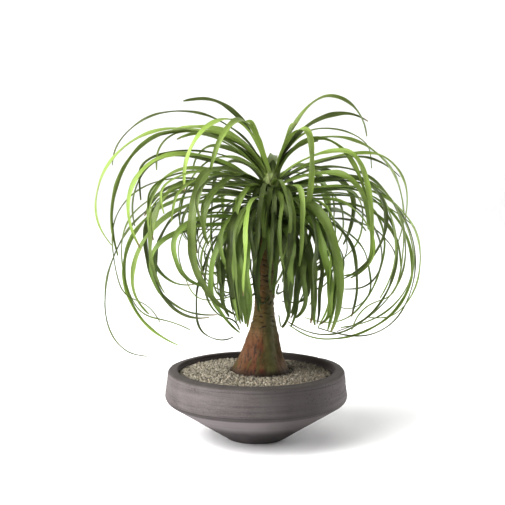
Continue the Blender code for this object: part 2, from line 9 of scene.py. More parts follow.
import bpy
import numpy as np
from bpy.props import FloatProperty, FloatVectorProperty, IntProperty, PointerProperty
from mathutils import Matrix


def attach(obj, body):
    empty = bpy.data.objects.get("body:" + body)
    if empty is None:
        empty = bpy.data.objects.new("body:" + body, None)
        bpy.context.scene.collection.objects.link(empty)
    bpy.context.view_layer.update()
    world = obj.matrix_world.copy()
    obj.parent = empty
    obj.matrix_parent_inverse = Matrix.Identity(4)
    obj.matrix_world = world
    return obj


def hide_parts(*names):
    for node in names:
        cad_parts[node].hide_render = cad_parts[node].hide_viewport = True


bl_info = {
    "name": "Ponytail palm",
    "version": (1, 0, 0),
    "blender": (4, 5, 0),
    "location": "3D View > Sidebar > Ponytail palm",
    "description": "Dresses a potted ponytail palm: bowl, gravel, stem and strap leaves",
    "category": "Add Mesh",
}

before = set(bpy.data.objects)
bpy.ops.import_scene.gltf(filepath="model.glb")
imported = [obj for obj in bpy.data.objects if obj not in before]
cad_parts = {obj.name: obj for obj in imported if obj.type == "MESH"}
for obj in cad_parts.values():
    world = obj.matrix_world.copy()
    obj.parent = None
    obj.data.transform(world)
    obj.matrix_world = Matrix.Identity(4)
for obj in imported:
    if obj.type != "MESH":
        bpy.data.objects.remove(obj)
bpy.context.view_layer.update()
MM = 0.001
GOLDEN_TURN = 0.381966
PLAIN = (1, 1, 1)
BLACK = (0, 0, 0)
RIPPLE_WAVES = 14
RIPPLE_LENGTHS = (0.6, 1.6)

# Bowl, as in the solid it replaces. Corners are radius, height and fillet radius.
FLOOR_THICKNESS = 16.0
INNER_TURN = (131.6, 70.0)
RIM_INNER_RADIUS = 126.4
POT_HEIGHT = 114.2
BOWL_CORNERS = (
    (0, FLOOR_THICKNESS, 0),
    (46.0, FLOOR_THICKNESS, 14),
    (*INNER_TURN, 12),
    (RIM_INNER_RADIUS, POT_HEIGHT, 2.4),
    (143.0, 112.0, 5),
    (149.2, 64.6, 13),
    (48.0, 0, 2),
    (0, 0, 0),
)
DRAIN_HOLES = 3
DRAIN_RADIUS = 6.0
DRAIN_RING = 27.0

# The bowl's surface: sides of a drain hole, how far its cutter passes the foot, degrees in one step of
# a fillet, then where the outer side starts and ends, where it is calm, and how far it is sunk.
DRAIN_SIDES = 24
CUT_PAST = 10.0
FILLET_STEP = 9.0
FOOT_TOP = 1.5
FOOT_ROWS = 8
OUTER_EASE = 4
CALM_CONE = (60, 72)
CALM_LEAST = 0.25
OUTER_SINK = 0.15

# Chips and dents in the bowl: azimuth in degrees, height, radius, depth.
CHIPS = (
    (-128, 111.5, 5.0, 1.1),
    (-121, 112.5, 3.0, 0.8),
    (-137, 108.0, 2.4, 0.6),
    (-96, 112.5, 2.6, 0.6),
    (-62, 111.0, 3.4, 0.7),
    (-24, 112.0, 4.2, 0.8),
    (40, 111.5, 5.5, 1.0),
    (118, 112.0, 3.6, 0.8),
    (171, 111.0, 4.4, 0.9),
    (-150, 66.0, 4.0, 0.6),
    (-75, 62.0, 3.2, 0.5),
    (15, 64.0, 4.5, 0.6),
)
CHIP_SEED = 40
CHIP_UNEVEN = 0.25
CHIP_FLAT = 0.55
CHIP_OUTLINE_STEP = 4.0

# Level lines that the mould left round the bowl, in metres and shares: height, half width, darkness.
CASTING_LINES = (
    (0.0672, 0.0011, 0.75),
    (0.0700, 0.0016, 0.30),
    (0.1062, 0.0008, 0.55),
    (0.0440, 0.0007, 0.30),
)

# Where the bowl's finish changes, in metres, and the colours that it adds. Each pair is where a coat
# starts and where it is full: ACROSS is along X or Y, REACH is out from the middle, the rest is in Z.
# Painted shade makes the right of the bowl darker, between these places along X.
SIDE_SHADE_ACROSS = ((-0.045, 0.055), (0.138, 0.085))
# Where the cone's painted floor light starts, and where it turns from lit at the left to shaded at the
# right.
CONE_BELOW = (0.0625, 0.0585)
CONE_ACROSS = (-0.02, 0.06)
# A band of painted shade at the crease.
CREASE_SHADE = ((0.0690, 0.0665), (0.0600, 0.0635))
# Painted shade at the foot, darker towards the floor.
FOOT_SHADE_BELOW = (0.042, 0.022)
# The crown's painted shadow on the rim's top, deeper towards the front.
RIM_ABOVE = (0.1080, 0.1110)
RIM_ACROSS = (0.03, -0.11)
LIP_REACH = (0.1325, 0.1275)
LIP_ABOVE = (0.108, 0.111)
INSIDE_REACH = (0.1285, 0.1265)
INSIDE_HEIGHTS = ((0.1115, 0.1075), (0.080, 0.088))
INSIDE_ACROSS = (0.0, 0.13)
PALE_GRAIN = (0.30, 0.28, 0.27)
PORE = (0.035, 0.03, 0.03)
# Painted light bounced up from the floor onto the cone: lit at the left, shaded at the right.
LIT_CONE = (0.262, 0.236, 0.240)
SHADED_CONE = (0.128, 0.110, 0.108)
# Painted shadow of the crown on the front of the rim.
RIM_SHADOW = (0.052, 0.045, 0.038)
LIP_STAIN = (0.045, 0.036, 0.030)
# The inner wall above the gravel, darker towards +X.
INNER_WALL_DARK = (0.030, 0.022, 0.017)
CASTING_DARK = (0.03, 0.025, 0.026)

# Gravel bed: height at the wall, the rise at the middle, the fall to +X and the underside.
GRAVEL_TOP = 104.5
GRAVEL_MOUND = 3.5
GRAVEL_FALL = 2.2
GRAVEL_BOTTOM = 95.3
GAP = 0.3
BED_COLUMNS = 240
BED_ROWS = 44
BED_SINK = 2.0

# Pebbles: how they are strewn and formed, in millimetres and shares of a pebble's size, and the shape
# of the draws for their sizes and tones.
PEBBLE_SEED = 31
PEBBLE_JITTER = 1.1
PEBBLE_SINK = (0.8, 3.2)
PEBBLE_FROM_WALL = 0.62
PEBBLE_FROM_STEM = 0.2
PEBBLE_SIDES = 7
PEBBLE_LIFTS = (-48.0, 0.0, 48.0)
PEBBLE_DENTS = 0.16
PEBBLE_SQUEEZES = ((0.9, 1.25), (0.75, 1.05), (0.5, 0.85))
PEBBLE_TILT = 0.35
PEBBLE_SIZES = (2.0, 3.0)
PEBBLE_TONES = (0.55, 0.24)

# Where the pebbles' finish changes, in metres, as for the bowl, and what pebbles and soil add.
# Painted shade to the right of the gravel, and painted light to the left.
SHADED_STONES = (0.02, 0.14)
LIT_STONES = (-0.02, -0.09)
# A painted shadow round the foot of the stem: its middle, its reach, and how it deepens to the right.
STEM_SHADOW_MIDDLE = (0.007, 0.017, 0)
STEM_SHADOW_REACH = (0.060, 0.051)
STEM_SHADOW_ACROSS = (-0.03, 0.03)
STEM_SHADOW_COLOUR = (0.03, 0.024, 0.018)
WARM_STONE = (0.34, 0.25, 0.16)
STONE_DUST = (0.52, 0.48, 0.40)
STONE_SPECKLE = (0.12, 0.10, 0.08)
PALE_CRUMB = (0.085, 0.058, 0.038)
SOIL_FIBRE = (0.2, 0.15, 0.1)

# Stem: axis in X by height, and radius by height.
STEM_Y = 17.0
STEM_LEAN = (
    (60, 6.0), (108, 6.4), (130, 7.2), (170, 11.0), (200, 13.0), (260, 13.5), (325, 16.0), (385, 20.5),
    (455, 27.5),
)
STEM_RADII = (
    (64, 16.0), (70, 31.0), (80, 42.0), (93, 47.0), (104, 48.0), (109, 47.0), (114, 43.6), (121, 39.5),
    (130, 36.0), (142, 31.6), (155, 27.5), (169, 24.2), (182, 20.6), (194, 17.8), (206, 16.2), (220, 15.6),
    (234, 15.3), (250, 15.6), (266, 16.0), (282, 16.3), (300, 16.6), (312, 16.6),
)
STEM_TOP = 324.7

# The bark's relief. A pair is the heights between which a relief comes or goes.
SCARS_FROM = (162.0, 188.0)
SCAR_WIDTH = 0.19
SCAR_LEAST = 0.62
FLUTES_FROM = (116, 134)
FLUTES_TO = (165, 205)
FLUTE_RELIEF = 0.035
CORK_SHARE = (0.6, 1.5)
CORK_TO = (150, 215)
BURIED = (96, 108)
SWELL_SHARE = 0.45
STEM_GROWTH = 0.2
KNOT_HEIGHT = 268.0
KNOT_LEFT = 10.0
KNOT_IN = 2.6
KNOT_SIZE = (3.2, 6.0, 4.2)
KNOT_DEPTH = 2.4
CORK_DARK = 0.45
KNOT_DARK = 1.4

# Flutes of the flare: share of the relief, count round the stem, and phase.
FLUTES = ((1.0, 5, 0.6), (0.6, 8, 2.0))

# Uneven relief, as rows of height, wave length, seed and stretch along X, Y and Z.
CASTING_WAVES = ((1.0, 9.0, 3, (0.10, 0.10, 1.0)), (0.5, 34.0, 4, PLAIN))
BED_WAVES = ((0.8, 7.0, 21, PLAIN),)
SCAR_WANDER = ((1.5, 26.0, 61, (1, 1, 0.5)), (0.7, 9.0, 62, PLAIN))
SCAR_FADE = ((0.38, 13.0, 63, PLAIN),)
CORK_WAVES = ((1.0, 6.0, 64, (1, 1, 0.09)),)
STEM_SWELL = ((0.5, 16.0, 65, PLAIN), (0.25, 5.0, 66, PLAIN))

# Where the stem's finish changes, in metres, as for the bowl, and the colours that it adds.
RUST_TO_CORK = (0.140, 0.215)
FLARE_BELOW = (0.21, 0.15)
NECK_ABOVE = (0.15, 0.21)
# Painted light on the lit left of the stem.
LIT_SIDE_ACROSS = (0.012, -0.016)
SHADED_ACROSS = (0.036, 0.046)
# A painted green reflection of the leaves down the right side of the stem.
GREEN_REFLECTION_ACROSS = ((0.022, 0.031), (0.046, 0.038))
OLIVE_RING = ((0.160, 0.192), (0.245, 0.215))
# Painted shade at the foot of the stem, by the gravel.
BASE_SHADE_BELOW = (0.119, 0.107)
WARM_CORK = (0.40, 0.23, 0.12)
LIT_OCHRE = (0.104, 0.055, 0.017)
SCAR_RING = (0.20, 0.135, 0.070)
SHADED_BROWN = (0.105, 0.062, 0.026)
PALE_REFLECTED_GREEN = (0.16, 0.15, 0.06)
OLIVE = (0.055, 0.062, 0.017)

# Crown: the core of leaf bases, and the rules that shape a leaf.
CORE_RADII = ((325, 16.4), (345, 17.5), (375, 17.5), (400, 16.0), (422, 13.0), (440, 8.5), (450, 2.5))
CORE_TIP = 452.0
CORE_ROWS = 150
CORE_COLUMNS = 120
CORE_SINK = 0.9
SHEATH_RELIEF = 0.8
CORE_MARGIN = 8.0
ROOT_DEPTH = 7.0
STEM_CLEARANCE = 4.0
CROWN_X = 24.0
STEEPEST_LAUNCH = 74.0
TIP_EASE = 0.85
MOST_UPTURN = 60.0
WIDEST_TURN = 2.9
ROUND_HANDLE = 0.68
KEEL_SHARE = 0.11
KEEL_LEAST = 0.7
TIP_WIDTH = 2.2
ROLLS = (14.0, 46.0)
FACING_SHARE = 0.72
ROOT_ROLL = 0.35
TIP_ROLL = 1.25
LONG_TAPER = 2.6
SHORT_TAPER = 4.0
LONG_LEAF = 400.0
SHORT_LEAF = 200.0
BASE_WIDTHS = ((0.0, 0.07, 0.22), (1.2, 0.78, 1.0))
DRIFTS = (8.0, 16.0)
SWAY = 5.0
LEAN_SHARE = 0.3

# How a leaf's line and blade waver: by how much, and the length of a wave in millimetres.
OLD_WANDER = 1.7
YOUNG_WANDER = 0.5
WANDER_FROM = (0.15, 0.5)
WANDER_LENGTH = 76.0
WOBBLE = 0.2
WOBBLE_LENGTH = 90.0
EDGE_WAVE = 0.06
EDGE_LENGTH = 37.0

# A blade's section: places across it from edge to edge, and how it thins and sinks.
HALF_RING = (-1.0, -0.66, -0.3, 0.0, 0.3, 0.66, 1.0)
THICKEST_SHARE = 0.3
EDGE_THINNING = 0.72
CHANNEL_SHARE = 0.85
CHANNEL_POWER = 1.4

# Each leaf's own tone and dryness, by its number, and its age by its root's height.
TONE_TURN = 0.7548777
DRYNESS_TURN = 0.5698403
NEWEST_ROOT = 432
AGE_SPAN = 95

# The leaves' finish: darkest and brightest tone, and the colours that it adds.
DARKEST_TONE = 0.38
BRIGHTEST_TONE = 1.85
VEINS = 30.0
PALE_PATCH = (0.5, 0.6, 0.2)
VEIN = (0.42, 0.54, 0.16)

# Spirals of sheaths round the core: count, and the height in which one turn is gained or lost.
SPIRALS = ((5, 34.0), (8, -21.0))

# Where the core's finish changes, in metres, as for the bowl, and the colours that it adds.
SHEATH_ABOVE = (0.345, 0.40)
TIP_ABOVE = (0.425, 0.440)
LOW_SHEATH = (0.16, 0.13, 0.055)
DRY_EDGE = (0.09, 0.06, 0.025)
TIP_GREEN = (0.085, 0.125, 0.030)

# Each leaf: azimuth in degrees from +X towards +Y, height of its root, width, then the places
# (reach from the crown's axis, height) where it crests, where it hangs furthest out, where it
# turns back up if it curls that far, and its tip.
LEFT_LEAVES = (
    (180, 430, 11, (150, 530), (275, 438)),
    (184, 421, 11, (152, 503), (282, 377), (258, 319)),
    (172, 417, 11, (152, 498), (264, 347), (256, 291)),
    (196, 425, 9, (137, 498), (184, 450), (184, 436)),
    (170, 403, 11, (160, 458), (224, 376), (220, 346)),
    (190, 401, 11, (150, 463), (234, 380), (214, 315)),
    (204, 407, 11, (140, 442), (205, 360), (204, 331)),
    (160, 396, 10, (145, 410), (252, 348)),
    (178, 391, 11, (108, 404), (270, 220), (212, 137), (203, 136)),
    (166, 384, 11, (94, 395), (256, 257), (157, 142)),
    (194, 376, 11, (93, 388), (226, 261), (199, 205)),
    (206, 401, 15, (139, 420), (206, 329), (175, 241)),
    (156, 388, 11, (135, 398), (229, 314), (129, 185), (105, 189)),
    (212, 352, 10, (118, 366), (182, 321), (118, 254)),
    (150, 336, 9, (118, 332), (228, 277), (163, 233)),
    (228, 408, 16, (146, 445), (194, 331), (107, 214)),
    (140, 341, 9, (68, 345), (157, 189), (75, 153)),
    (222, 346, 10, (65, 355), (124, 281), (65, 177)),
    (132, 338, 9, (115, 318), (186, 275), (117, 255)),
    (143, 362, 9, (95, 372), (143, 319), (137, 292)),
)
HIGH_LEAVES = (
    (178, 436, 13, (109, 549), (140, 545)),
    (214, 431, 12, (81, 519), (158, 428), (158, 407)),
    (236, 429, 12, (85, 518), (143, 453), (142, 437)),
    (160, 415, 10, (99, 473), (129, 439), (129, 429)),
    (186, 425, 13, (137, 498), (180, 491)),
    (168, 428, 15, (121, 504), (172, 496)),
    (192, 419, 14, (108, 495), (152, 484)),
    (0, 436, 13, (92, 554), (157, 488)),
    (14, 434, 12, (127, 525), (163, 512)),
    (-38, 430, 13, (65, 506), (83, 430), (64, 291)),
    (6, 424, 11, (95, 489), (236, 338), (231, 309)),
    (-12, 420, 15, (82, 488), (163, 306), (129, 261)),
    (18, 411, 10, (145, 455), (223, 420)),
    (10, 416, 9, (160, 462), (222, 390), (216, 353)),
)
RIGHT_LEAVES = (
    (-18, 408, 12, (102, 433), (157, 367), (157, 340)),
    (2, 405, 11, (103, 441), (221, 301), (109, 168)),
    (34, 394, 9, (150, 402), (184, 397)),
    (24, 386, 9, (120, 391), (245, 337)),
    (-24, 388, 13, (98, 392), (172, 314), (121, 268)),
    (30, 360, 10, (120, 365), (191, 325)),
    (40, 346, 9, (130, 348), (262, 266), (250, 218)),
    (-30, 380, 11, (74, 391), (127, 329), (124, 291)),
    (22, 345, 10, (62, 350), (198, 224), (157, 194), (130, 201)),
    (12, 374, 10, (124, 378), (220, 272)),
    (-6, 398, 11, (126, 426), (186, 358), (117, 261)),
    (-4, 392, 9, (118, 411), (249, 276), (190, 186), (164, 189)),
    (8, 398, 10, (113, 424), (240, 281), (120, 172)),
    (-42, 378, 16, (66, 392), (143, 249), (129, 187)),
    (-52, 370, 12, (62, 384), (136, 272), (118, 232)),
    (-48, 362, 13, (56, 374), (129, 239), (98, 194)),
    (48, 352, 9, (73, 352), (153, 306)),
    (44, 341, 10, (75, 340), (157, 270), (158, 239)),
)
FRONT_LEAVES = (
    (-93, 402, 10, (36, 412), (60, 362), (56, 330)),
    (-115, 400, 9, (42, 411), (74, 333), (68, 281)),
    (-127, 402, 10, (62, 408), (92, 350), (92, 328)),
    (-66, 400, 10, (48, 413), (90, 333), (98, 281)),
    (-73, 384, 8, (44, 394), (80, 340), (84, 304)),
    (-88, 394, 9, (38, 406), (68, 345), (52, 296)),
    (-101, 384, 9, (40, 392), (63, 357), (51, 312)),
    (-81, 364, 9, (38, 370), (62, 322), (56, 272)),
    (-52, 350, 9, (52, 356), (88, 290), (46, 205)),
    (-74, 344, 11, (42, 350), (69, 295), (80, 210)),
    (-118, 352, 12, (50, 356), (112, 285), (84, 198)),
    (-80, 342, 8, (36, 344), (51, 299), (80, 240)),
    (-133, 340, 11, (38, 344), (87, 279), (82, 199)),
    (-76, 361, 12, (48, 370), (123, 321), (106, 217)),
    (-60, 403, 9, (79, 416), (104, 340), (97, 291)),
    (-74, 410, 8, (48, 424), (113, 347), (101, 297)),
    (-83, 392, 8, (42, 404), (120, 330), (118, 278)),
    (-99, 404, 8, (60, 418), (124, 374), (181, 310)),
    (-104, 388, 11, (72, 399), (178, 326), (142, 252)),
    (-124, 374, 11, (58, 382), (117, 299), (129, 210)),
    (-116, 382, 10, (62, 390), (140, 321), (131, 219)),
    (-122, 366, 11, (70, 378), (133, 276), (92, 212)),
    (-124, 405, 8, (58, 416), (94, 354), (111, 286)),
)

# Leaves that curl back in. Most hang close to the stem, and some reach far out first.
CURLED_LEAVES = (
    (140, 372, 8, (106, 372), (160, 282), (126, 256), (104, 259)),
    (215, 352, 11, (60, 358), (112, 291), (92, 237)),
    (150, 362, 7, (150, 362), (238, 233), (137, 184), (107, 188)),
    (200, 350, 9, (100, 350), (198, 295), (178, 233)),
    (200, 344, 8, (34, 350), (101, 251), (84, 228)),
    (-60, 345, 9, (34, 349), (106, 242), (66, 204)),
    (20, 384, 7, (90, 386), (198, 283), (146, 235), (126, 236)),
    (20, 396, 7, (130, 402), (248, 281), (91, 155), (30, 181)),
    (-50, 356, 12, (44, 362), (98, 250), (96, 194)),
    (-66, 348, 10, (36, 350), (93, 253), (72, 205)),
    (228, 350, 11, (52, 354), (104, 260), (90, 206)),
    (233, 346, 11, (48, 350), (87, 286), (88, 198)),
    (240, 352, 11, (50, 357), (94, 288), (87, 193)),
    (-92, 372, 9, (30, 376), (47, 330), (43, 283)),
    (-84, 380, 9, (34, 386), (56, 332), (50, 292)),
    (-98, 356, 8, (30, 360), (70, 318), (62, 282)),
)

# Leaves that thicken the bundles: beside the stem, low on the right, and at the top of the fan.
BUNDLED_LEAVES = (
    (-72, 348, 12, (34, 352), (101, 299), (84, 209)),
    (-60, 352, 12, (38, 357), (87, 286), (68, 212)),
    (-50, 352, 11, (44, 358), (104, 276), (117, 204)),
    (-46, 366, 12, (58, 378), (129, 278), (97, 190)),
    (-42, 374, 13, (62, 388), (131, 281), (117, 188)),
    (214, 352, 11, (46, 356), (77, 278), (64, 192)),
    (228, 346, 11, (42, 350), (76, 272), (60, 190)),
    (250, 344, 9, (36, 348), (132, 291), (131, 205)),
    (176, 434, 15, (33, 513), (41, 512)),
    (-6, 436, 15, (34, 509), (41, 509)),
    (12, 428, 14, (66, 480), (85, 480)),
    (-22, 416, 11, (122, 469), (170, 353), (162, 292)),
    (-2, 400, 10, (130, 422), (202, 307), (177, 229)),
)

# Thin extra leaves that only the fine model has.
THIN_LEAVES = (
    (22, 396, 5, (115, 406), (232, 273), (110, 156), (30, 185)),
    (10, 402, 5, (118, 417), (240, 288), (150, 162), (77, 177)),
    (34, 390, 4.5, (118, 394), (254, 281), (159, 166), (82, 183)),
    (-8, 404, 5, (119, 426), (214, 332), (187, 228), (132, 175)),
    (168, 398, 5, (143, 400), (258, 297), (210, 183), (140, 166)),
    (176, 408, 5, (149, 421), (264, 324), (241, 216), (194, 176)),
    (150, 370, 4.5, (89, 363), (177, 294), (124, 213), (68, 226)),
    (188, 352, 4.5, (73, 352), (119, 298), (93, 270), (76, 274)),
    (206, 348, 4.5, (72, 340), (104, 282), (87, 234), (64, 240)),
    (198, 350, 4.5, (80, 336), (109, 260), (70, 194), (51, 174)),
    (214, 414, 6, (124, 439), (219, 404), (216, 378)),
    (222, 410, 6, (118, 433), (206, 400), (204, 366)),
    (206, 412, 6, (134, 436), (204, 392), (200, 351)),
    (230, 412, 6, (125, 432), (214, 394), (210, 362)),
    (200, 402, 5.5, (118, 415), (211, 376), (204, 332)),
    (236, 404, 5.5, (122, 418), (176, 380), (172, 345)),
    (26, 426, 5, (91, 501), (174, 461), (173, 435)),
    (164, 424, 5, (141, 465), (214, 431), (212, 385)),
    (-46, 350, 8, (58, 356), (112, 280), (98, 196)),
    (-38, 356, 8, (72, 364), (130, 286), (124, 200)),
    (-54, 346, 8, (50, 350), (96, 270), (70, 190)),
    (-30, 352, 7, (92, 358), (150, 280), (138, 205)),
    (-112, 350, 9, (40, 356), (78, 290), (62, 215)),
    (-104, 346, 8, (34, 350), (70, 284), (52, 210)),
)

# The leaves that the front ones hide follow a rule, older ones lower. Each fan has its count, its
# first and last azimuth in degrees, and where its turns start.
FILL_FANS = ((20, 28.0, 152.0, 0.0), (8, -44.0, 228.0, 0.08))
FILL_SEED = 5
FILL_WIDTH = 11.0
OLD_TO_YOUNG = (0.0, 0.5, 1.0)
FILL_ROOT = (344.0, 384.0, 412.0)
FILL_CREST_REACH = (64.0, 108.0, 84.0)
FILL_CREST_RISE = (10.0, 30.0, 34.0)
FILL_HANG_REACH = (54.0, 104.0, 84.0)
FILL_HANG_DROP = (58.0, 98.0, 96.0)
FILL_TIP_IN = (30.0, 38.0, 10.0)
FILL_TIP_DROP = (38.0, 58.0, 44.0)
FILL_SPREAD = 0.42
FILL_LIFT = 12.0
OLD_ROOT = 372
YOUNG_ROOT = 403
CURL_SEED = 8
CURL_ROOTS = (332.0, 384.0)
CURL_START = 0.31
CURL_WIDTHS = (5.5, 8.5)
FIRST_CURL = 500
FIRST_THIN = 700

# A curl's crest, outermost, lowest and last place, each from the one before: the sign, least and most
# of its step outwards, then of its step upwards.
CURL_STEPS = (
    ((1, 28, 74), (1, -2, 14)),
    ((1, 26, 78), (-1, 46, 96)),
    ((-1, 22, 60), (-1, 28, 62)),
    ((-1, 8, 26), (1, -2, 22)),
)

# The pieces of leaves: name, lowest and highest root, and how much brighter or darker each is painted, as
# painted light and shade.
TIERS = (
    ("old_leaves", 0, OLD_ROOT, 1.05),
    ("middle_leaves", OLD_ROOT, YOUNG_ROOT, 1.15),
    ("young_leaves", YOUNG_ROOT, 999, 0.96),
)
# The inner curls painted darker, as painted shade.
CURLED_PAINTED_LIGHT = 0.9

# The floor's section, in millimetres, and its greys by distance in metres.
FLOOR_START = 200
FLOOR_REACH = 3200.0
SWEEP = 1500.0
WALL_START = 500
WALL_TOP = 6000
FLOOR_ROWS = 12
SWEEP_ROWS = 24
WALL_ROWS = 4
FLOOR_COLUMNS = 96
FAR_FLOOR = (2.4, 3.6)
CLOUDED_FLOOR = (0.85, 0.85, 0.85)
FAR_GREY = (0.72, 0.72, 0.72)
WORLD_STRENGTH = 0.02

# The lamps: name, width and height, power in watts, place and target.
PALM_MIDDLE = (0, 0, 0.25)
LAMPS = (
    ("window_lamp", (2.0, 2.0), 84.0, (-1.71, -1.34, 1.66), PALM_MIDDLE),
    ("left_lamp", (2.0, 2.0), 72.0, (-2.20, -0.80, 1.39), PALM_MIDDLE),
    ("right_lamp", (1.6, 1.6), 60.0, (2.30, 1.08, 0.79), PALM_MIDDLE),
    ("top_lamp", (2.5, 2.5), 26.0, (0.05, 0, 2.85), PALM_MIDDLE),
    ("wall_lamp", (4.0, 1.0), 90.0, (0, 3.0, 3.4), (0, 4.7, 1.2)),
)


def colour(name, description, default):
    return FloatVectorProperty(
        name=name, description=description, default=default, size=3, min=0, max=1, subtype="COLOR"
    )


def millimetres(name, description, default, least=0.0, most=100.0):
    return FloatProperty(name=name, description=description, default=default, min=least, max=most)


def metres(name, description, default):
    return FloatProperty(name=name, description=description, default=default, unit="LENGTH")


def whole(name, description, default, least):
    return IntProperty(name=name, description=description, default=default, min=least)


class BowlSettings(bpy.types.PropertyGroup):
    """The concrete bowl's mesh and finish."""

    columns: whole("Columns", "Faces round the bowl", 216, 48)
    row_height: millimetres("Row height", "Longest face down the wall, in millimetres", 1.3, 0.5)
    waviness: millimetres("Waviness", "Depth of the casting lines, in millimetres", 0.22)
    light: colour("Light", "Dry, worn concrete", (0.150, 0.133, 0.131))
    dark: colour("Dark", "Damp or dirty concrete", (0.070, 0.059, 0.059))


class GravelSettings(bpy.types.PropertyGroup):
    """The pebbles on the soil."""

    count: whole("Pebbles", "Pebbles strewn, before those in the stem or wall go", 3700, 1)
    smallest: millimetres("Smallest", "Smallest pebble across, in millimetres", 2.8, 0.5)
    largest: millimetres("Largest", "Largest pebble across, in millimetres", 7.2, 0.5)
    pale: colour("Pale", "Palest pebbles", (0.43, 0.40, 0.335))
    middle: colour("Middle", "Most of the pebbles", (0.235, 0.214, 0.172))
    dark: colour("Dark", "Darkest pebbles", (0.12, 0.105, 0.082))
    soil: colour("Soil", "Damp potting soil", (0.03, 0.02, 0.013))


class StemSettings(bpy.types.PropertyGroup):
    """The swollen stem."""

    columns: whole("Columns", "Faces round the stem", 180, 24)
    rows: whole("Rows", "Rings up the stem", 300, 24)
    scar_pitch: millimetres("Scar pitch", "Height between two leaf scars, in millimetres", 8.4, 1)
    scar_depth: millimetres("Scar depth", "Depth of a leaf scar, in millimetres", 1.1)
    cork_depth: millimetres("Cork depth", "Depth of the cracks in the cork, in millimetres", 0.55)
    rust: colour("Rust", "The flare near the gravel", (0.096, 0.028, 0.0070))
    cork: colour("Cork", "The neck", (0.205, 0.112, 0.028))
    # Moss streaks on the flare, and also the base of the painted green reflection down the right side.
    moss_and_reflection: colour("Moss", "The green side", (0.074, 0.078, 0.021))
    # The crack colour is also the painted shade at the foot of the stem.
    crack_and_shade: colour("Crack", "Grooves and cracks", (0.018, 0.010, 0.006))


class LeafSettings(bpy.types.PropertyGroup):
    """The strap leaves."""

    steps: whole("Steps", "Faces along a leaf", 84, 12)
    curls: whole("Curls", "Short thin leaves near the stem", 30, 0)
    thickness: millimetres("Thickness", "Leaf at its middle, in millimetres", 0.75, 0.2)
    lit_through: FloatProperty(
        name="Lit through", description="Share of the light that a leaf lets through", default=0.26,
        min=0, max=1, subtype="FACTOR",
    )
    young: colour("Young", "The newest leaves", (0.205, 0.270, 0.072))
    old: colour("Old", "The oldest leaves", (0.082, 0.124, 0.029))
    glow: colour("Glow", "Light that comes through a leaf", (0.42, 0.54, 0.10))
    dry: colour("Dry", "Dried tips", (0.25, 0.19, 0.085))
    sheath: colour("Sheath", "Leaf bases in the core", (0.26, 0.31, 0.12))


class StageSettings(bpy.types.PropertyGroup):
    """The floor, the lamps and the camera."""

    distance: metres("Distance", "Camera to bowl", 2.0)
    height: metres("Height", "Camera over the floor", 0.563)
    side: metres("Side", "Camera to the right", -0.006)
    tilt: FloatProperty(
        name="Tilt", description="Camera's look down", default=math.radians(7.4), subtype="ANGLE"
    )
    lens: FloatProperty(name="Lens", description="Focal length in millimetres", default=89.4, min=10)
    floor: colour("Floor", "The pale floor", (0.92, 0.92, 0.92))
    contrast: FloatProperty(
        name="Contrast", description="View gamma, lower for deeper shade", default=0.77, min=0.3, max=2
    )


SETTINGS = (BowlSettings, GravelSettings, StemSettings, LeafSettings, StageSettings)


class PalmSettings(bpy.types.PropertyGroup):
    """All that a user would change."""

    bowl: PointerProperty(type=BowlSettings)
    gravel: PointerProperty(type=GravelSettings)
    stem: PointerProperty(type=StemSettings)
    leaves: PointerProperty(type=LeafSettings)
    stage: PointerProperty(type=StageSettings)


def settings():
    return bpy.context.scene.ponytail_palm


# Meshes

def new_piece(name, points, *face_sets, material=None, values=None, sharp=40.0):
    """An object from points in millimetres and sets of faces given as rows of point numbers.

    Faces that enclose a negative volume are turned round, so a closed piece faces outwards.
    """
    points = np.ascontiguousarray(points, np.float64).reshape(-1, 3)
    volume = sum(enclosed(points, faces) for faces in face_sets)
    if volume < 0:
        face_sets = [faces[:, ::-1] for faces in face_sets]
    sizes = np.concatenate([np.full(len(faces), faces.shape[1]) for faces in face_sets])
    corners = np.concatenate([faces.ravel() for faces in face_sets])
    mesh = bpy.data.meshes.new(name)
    mesh.vertices.add(len(points))
    mesh.vertices.foreach_set("co", (points * MM).astype(np.float32).ravel())
    mesh.loops.add(len(corners))
    mesh.loops.foreach_set("vertex_index", corners.astype(np.int32))
    mesh.polygons.add(len(sizes))
    mesh.polygons.foreach_set("loop_start", (np.cumsum(sizes) - sizes).astype(np.int32))
    mesh.update(calc_edges=True)
    mesh.validate()
    for label, numbers in (values or {}).items():
        held = mesh.attributes.new(label, "FLOAT", "POINT")
        held.data.foreach_set("value", np.asarray(numbers, np.float32).ravel())
    mesh.shade_smooth()
    mesh.set_sharp_from_angle(angle=math.radians(sharp))
    if material is not None:
        mesh.materials.append(material)
    piece = bpy.data.objects.new(name, mesh)
    bpy.context.scene.collection.objects.link(piece)
    return piece


def enclosed(points, faces):
    """Six times the volume between the faces, each cut into a fan, and the origin."""
    total = 0.0
    for corner in range(1, faces.shape[1] - 1):
        a, b, c = points[faces[:, 0]], points[faces[:, corner]], points[faces[:, corner + 1]]
        total += float(np.einsum("ij,ij->", a, np.cross(b, c)))
    return total


def neighbours(columns):
    """The point numbers of a ring, and the next point of each."""
    column = np.arange(columns)
    return column, (column + 1) % columns


def loop_faces(rows, columns, start=0):
    """Four-sided faces of a grid whose rows are closed rings."""
    column, after = neighbours(columns)
    low = (np.arange(rows - 1) * columns)[:, None]
    high = low + columns
    return np.stack([low + column, low + after, high + after, high + column], axis=-1).reshape(-1, 4) + start


def fans(rows, columns, bottom, top):
    """Triangles that close a ringed grid: the first ring to one point, the last ring to another."""
    column, after = neighbours(columns)
    last = (rows - 1) * columns
    low = np.stack([after, column, np.full(columns, bottom)], axis=-1)
    high = np.stack([last + column, last + after, np.full(columns, top)], axis=-1)
    return np.concatenate([low, high])


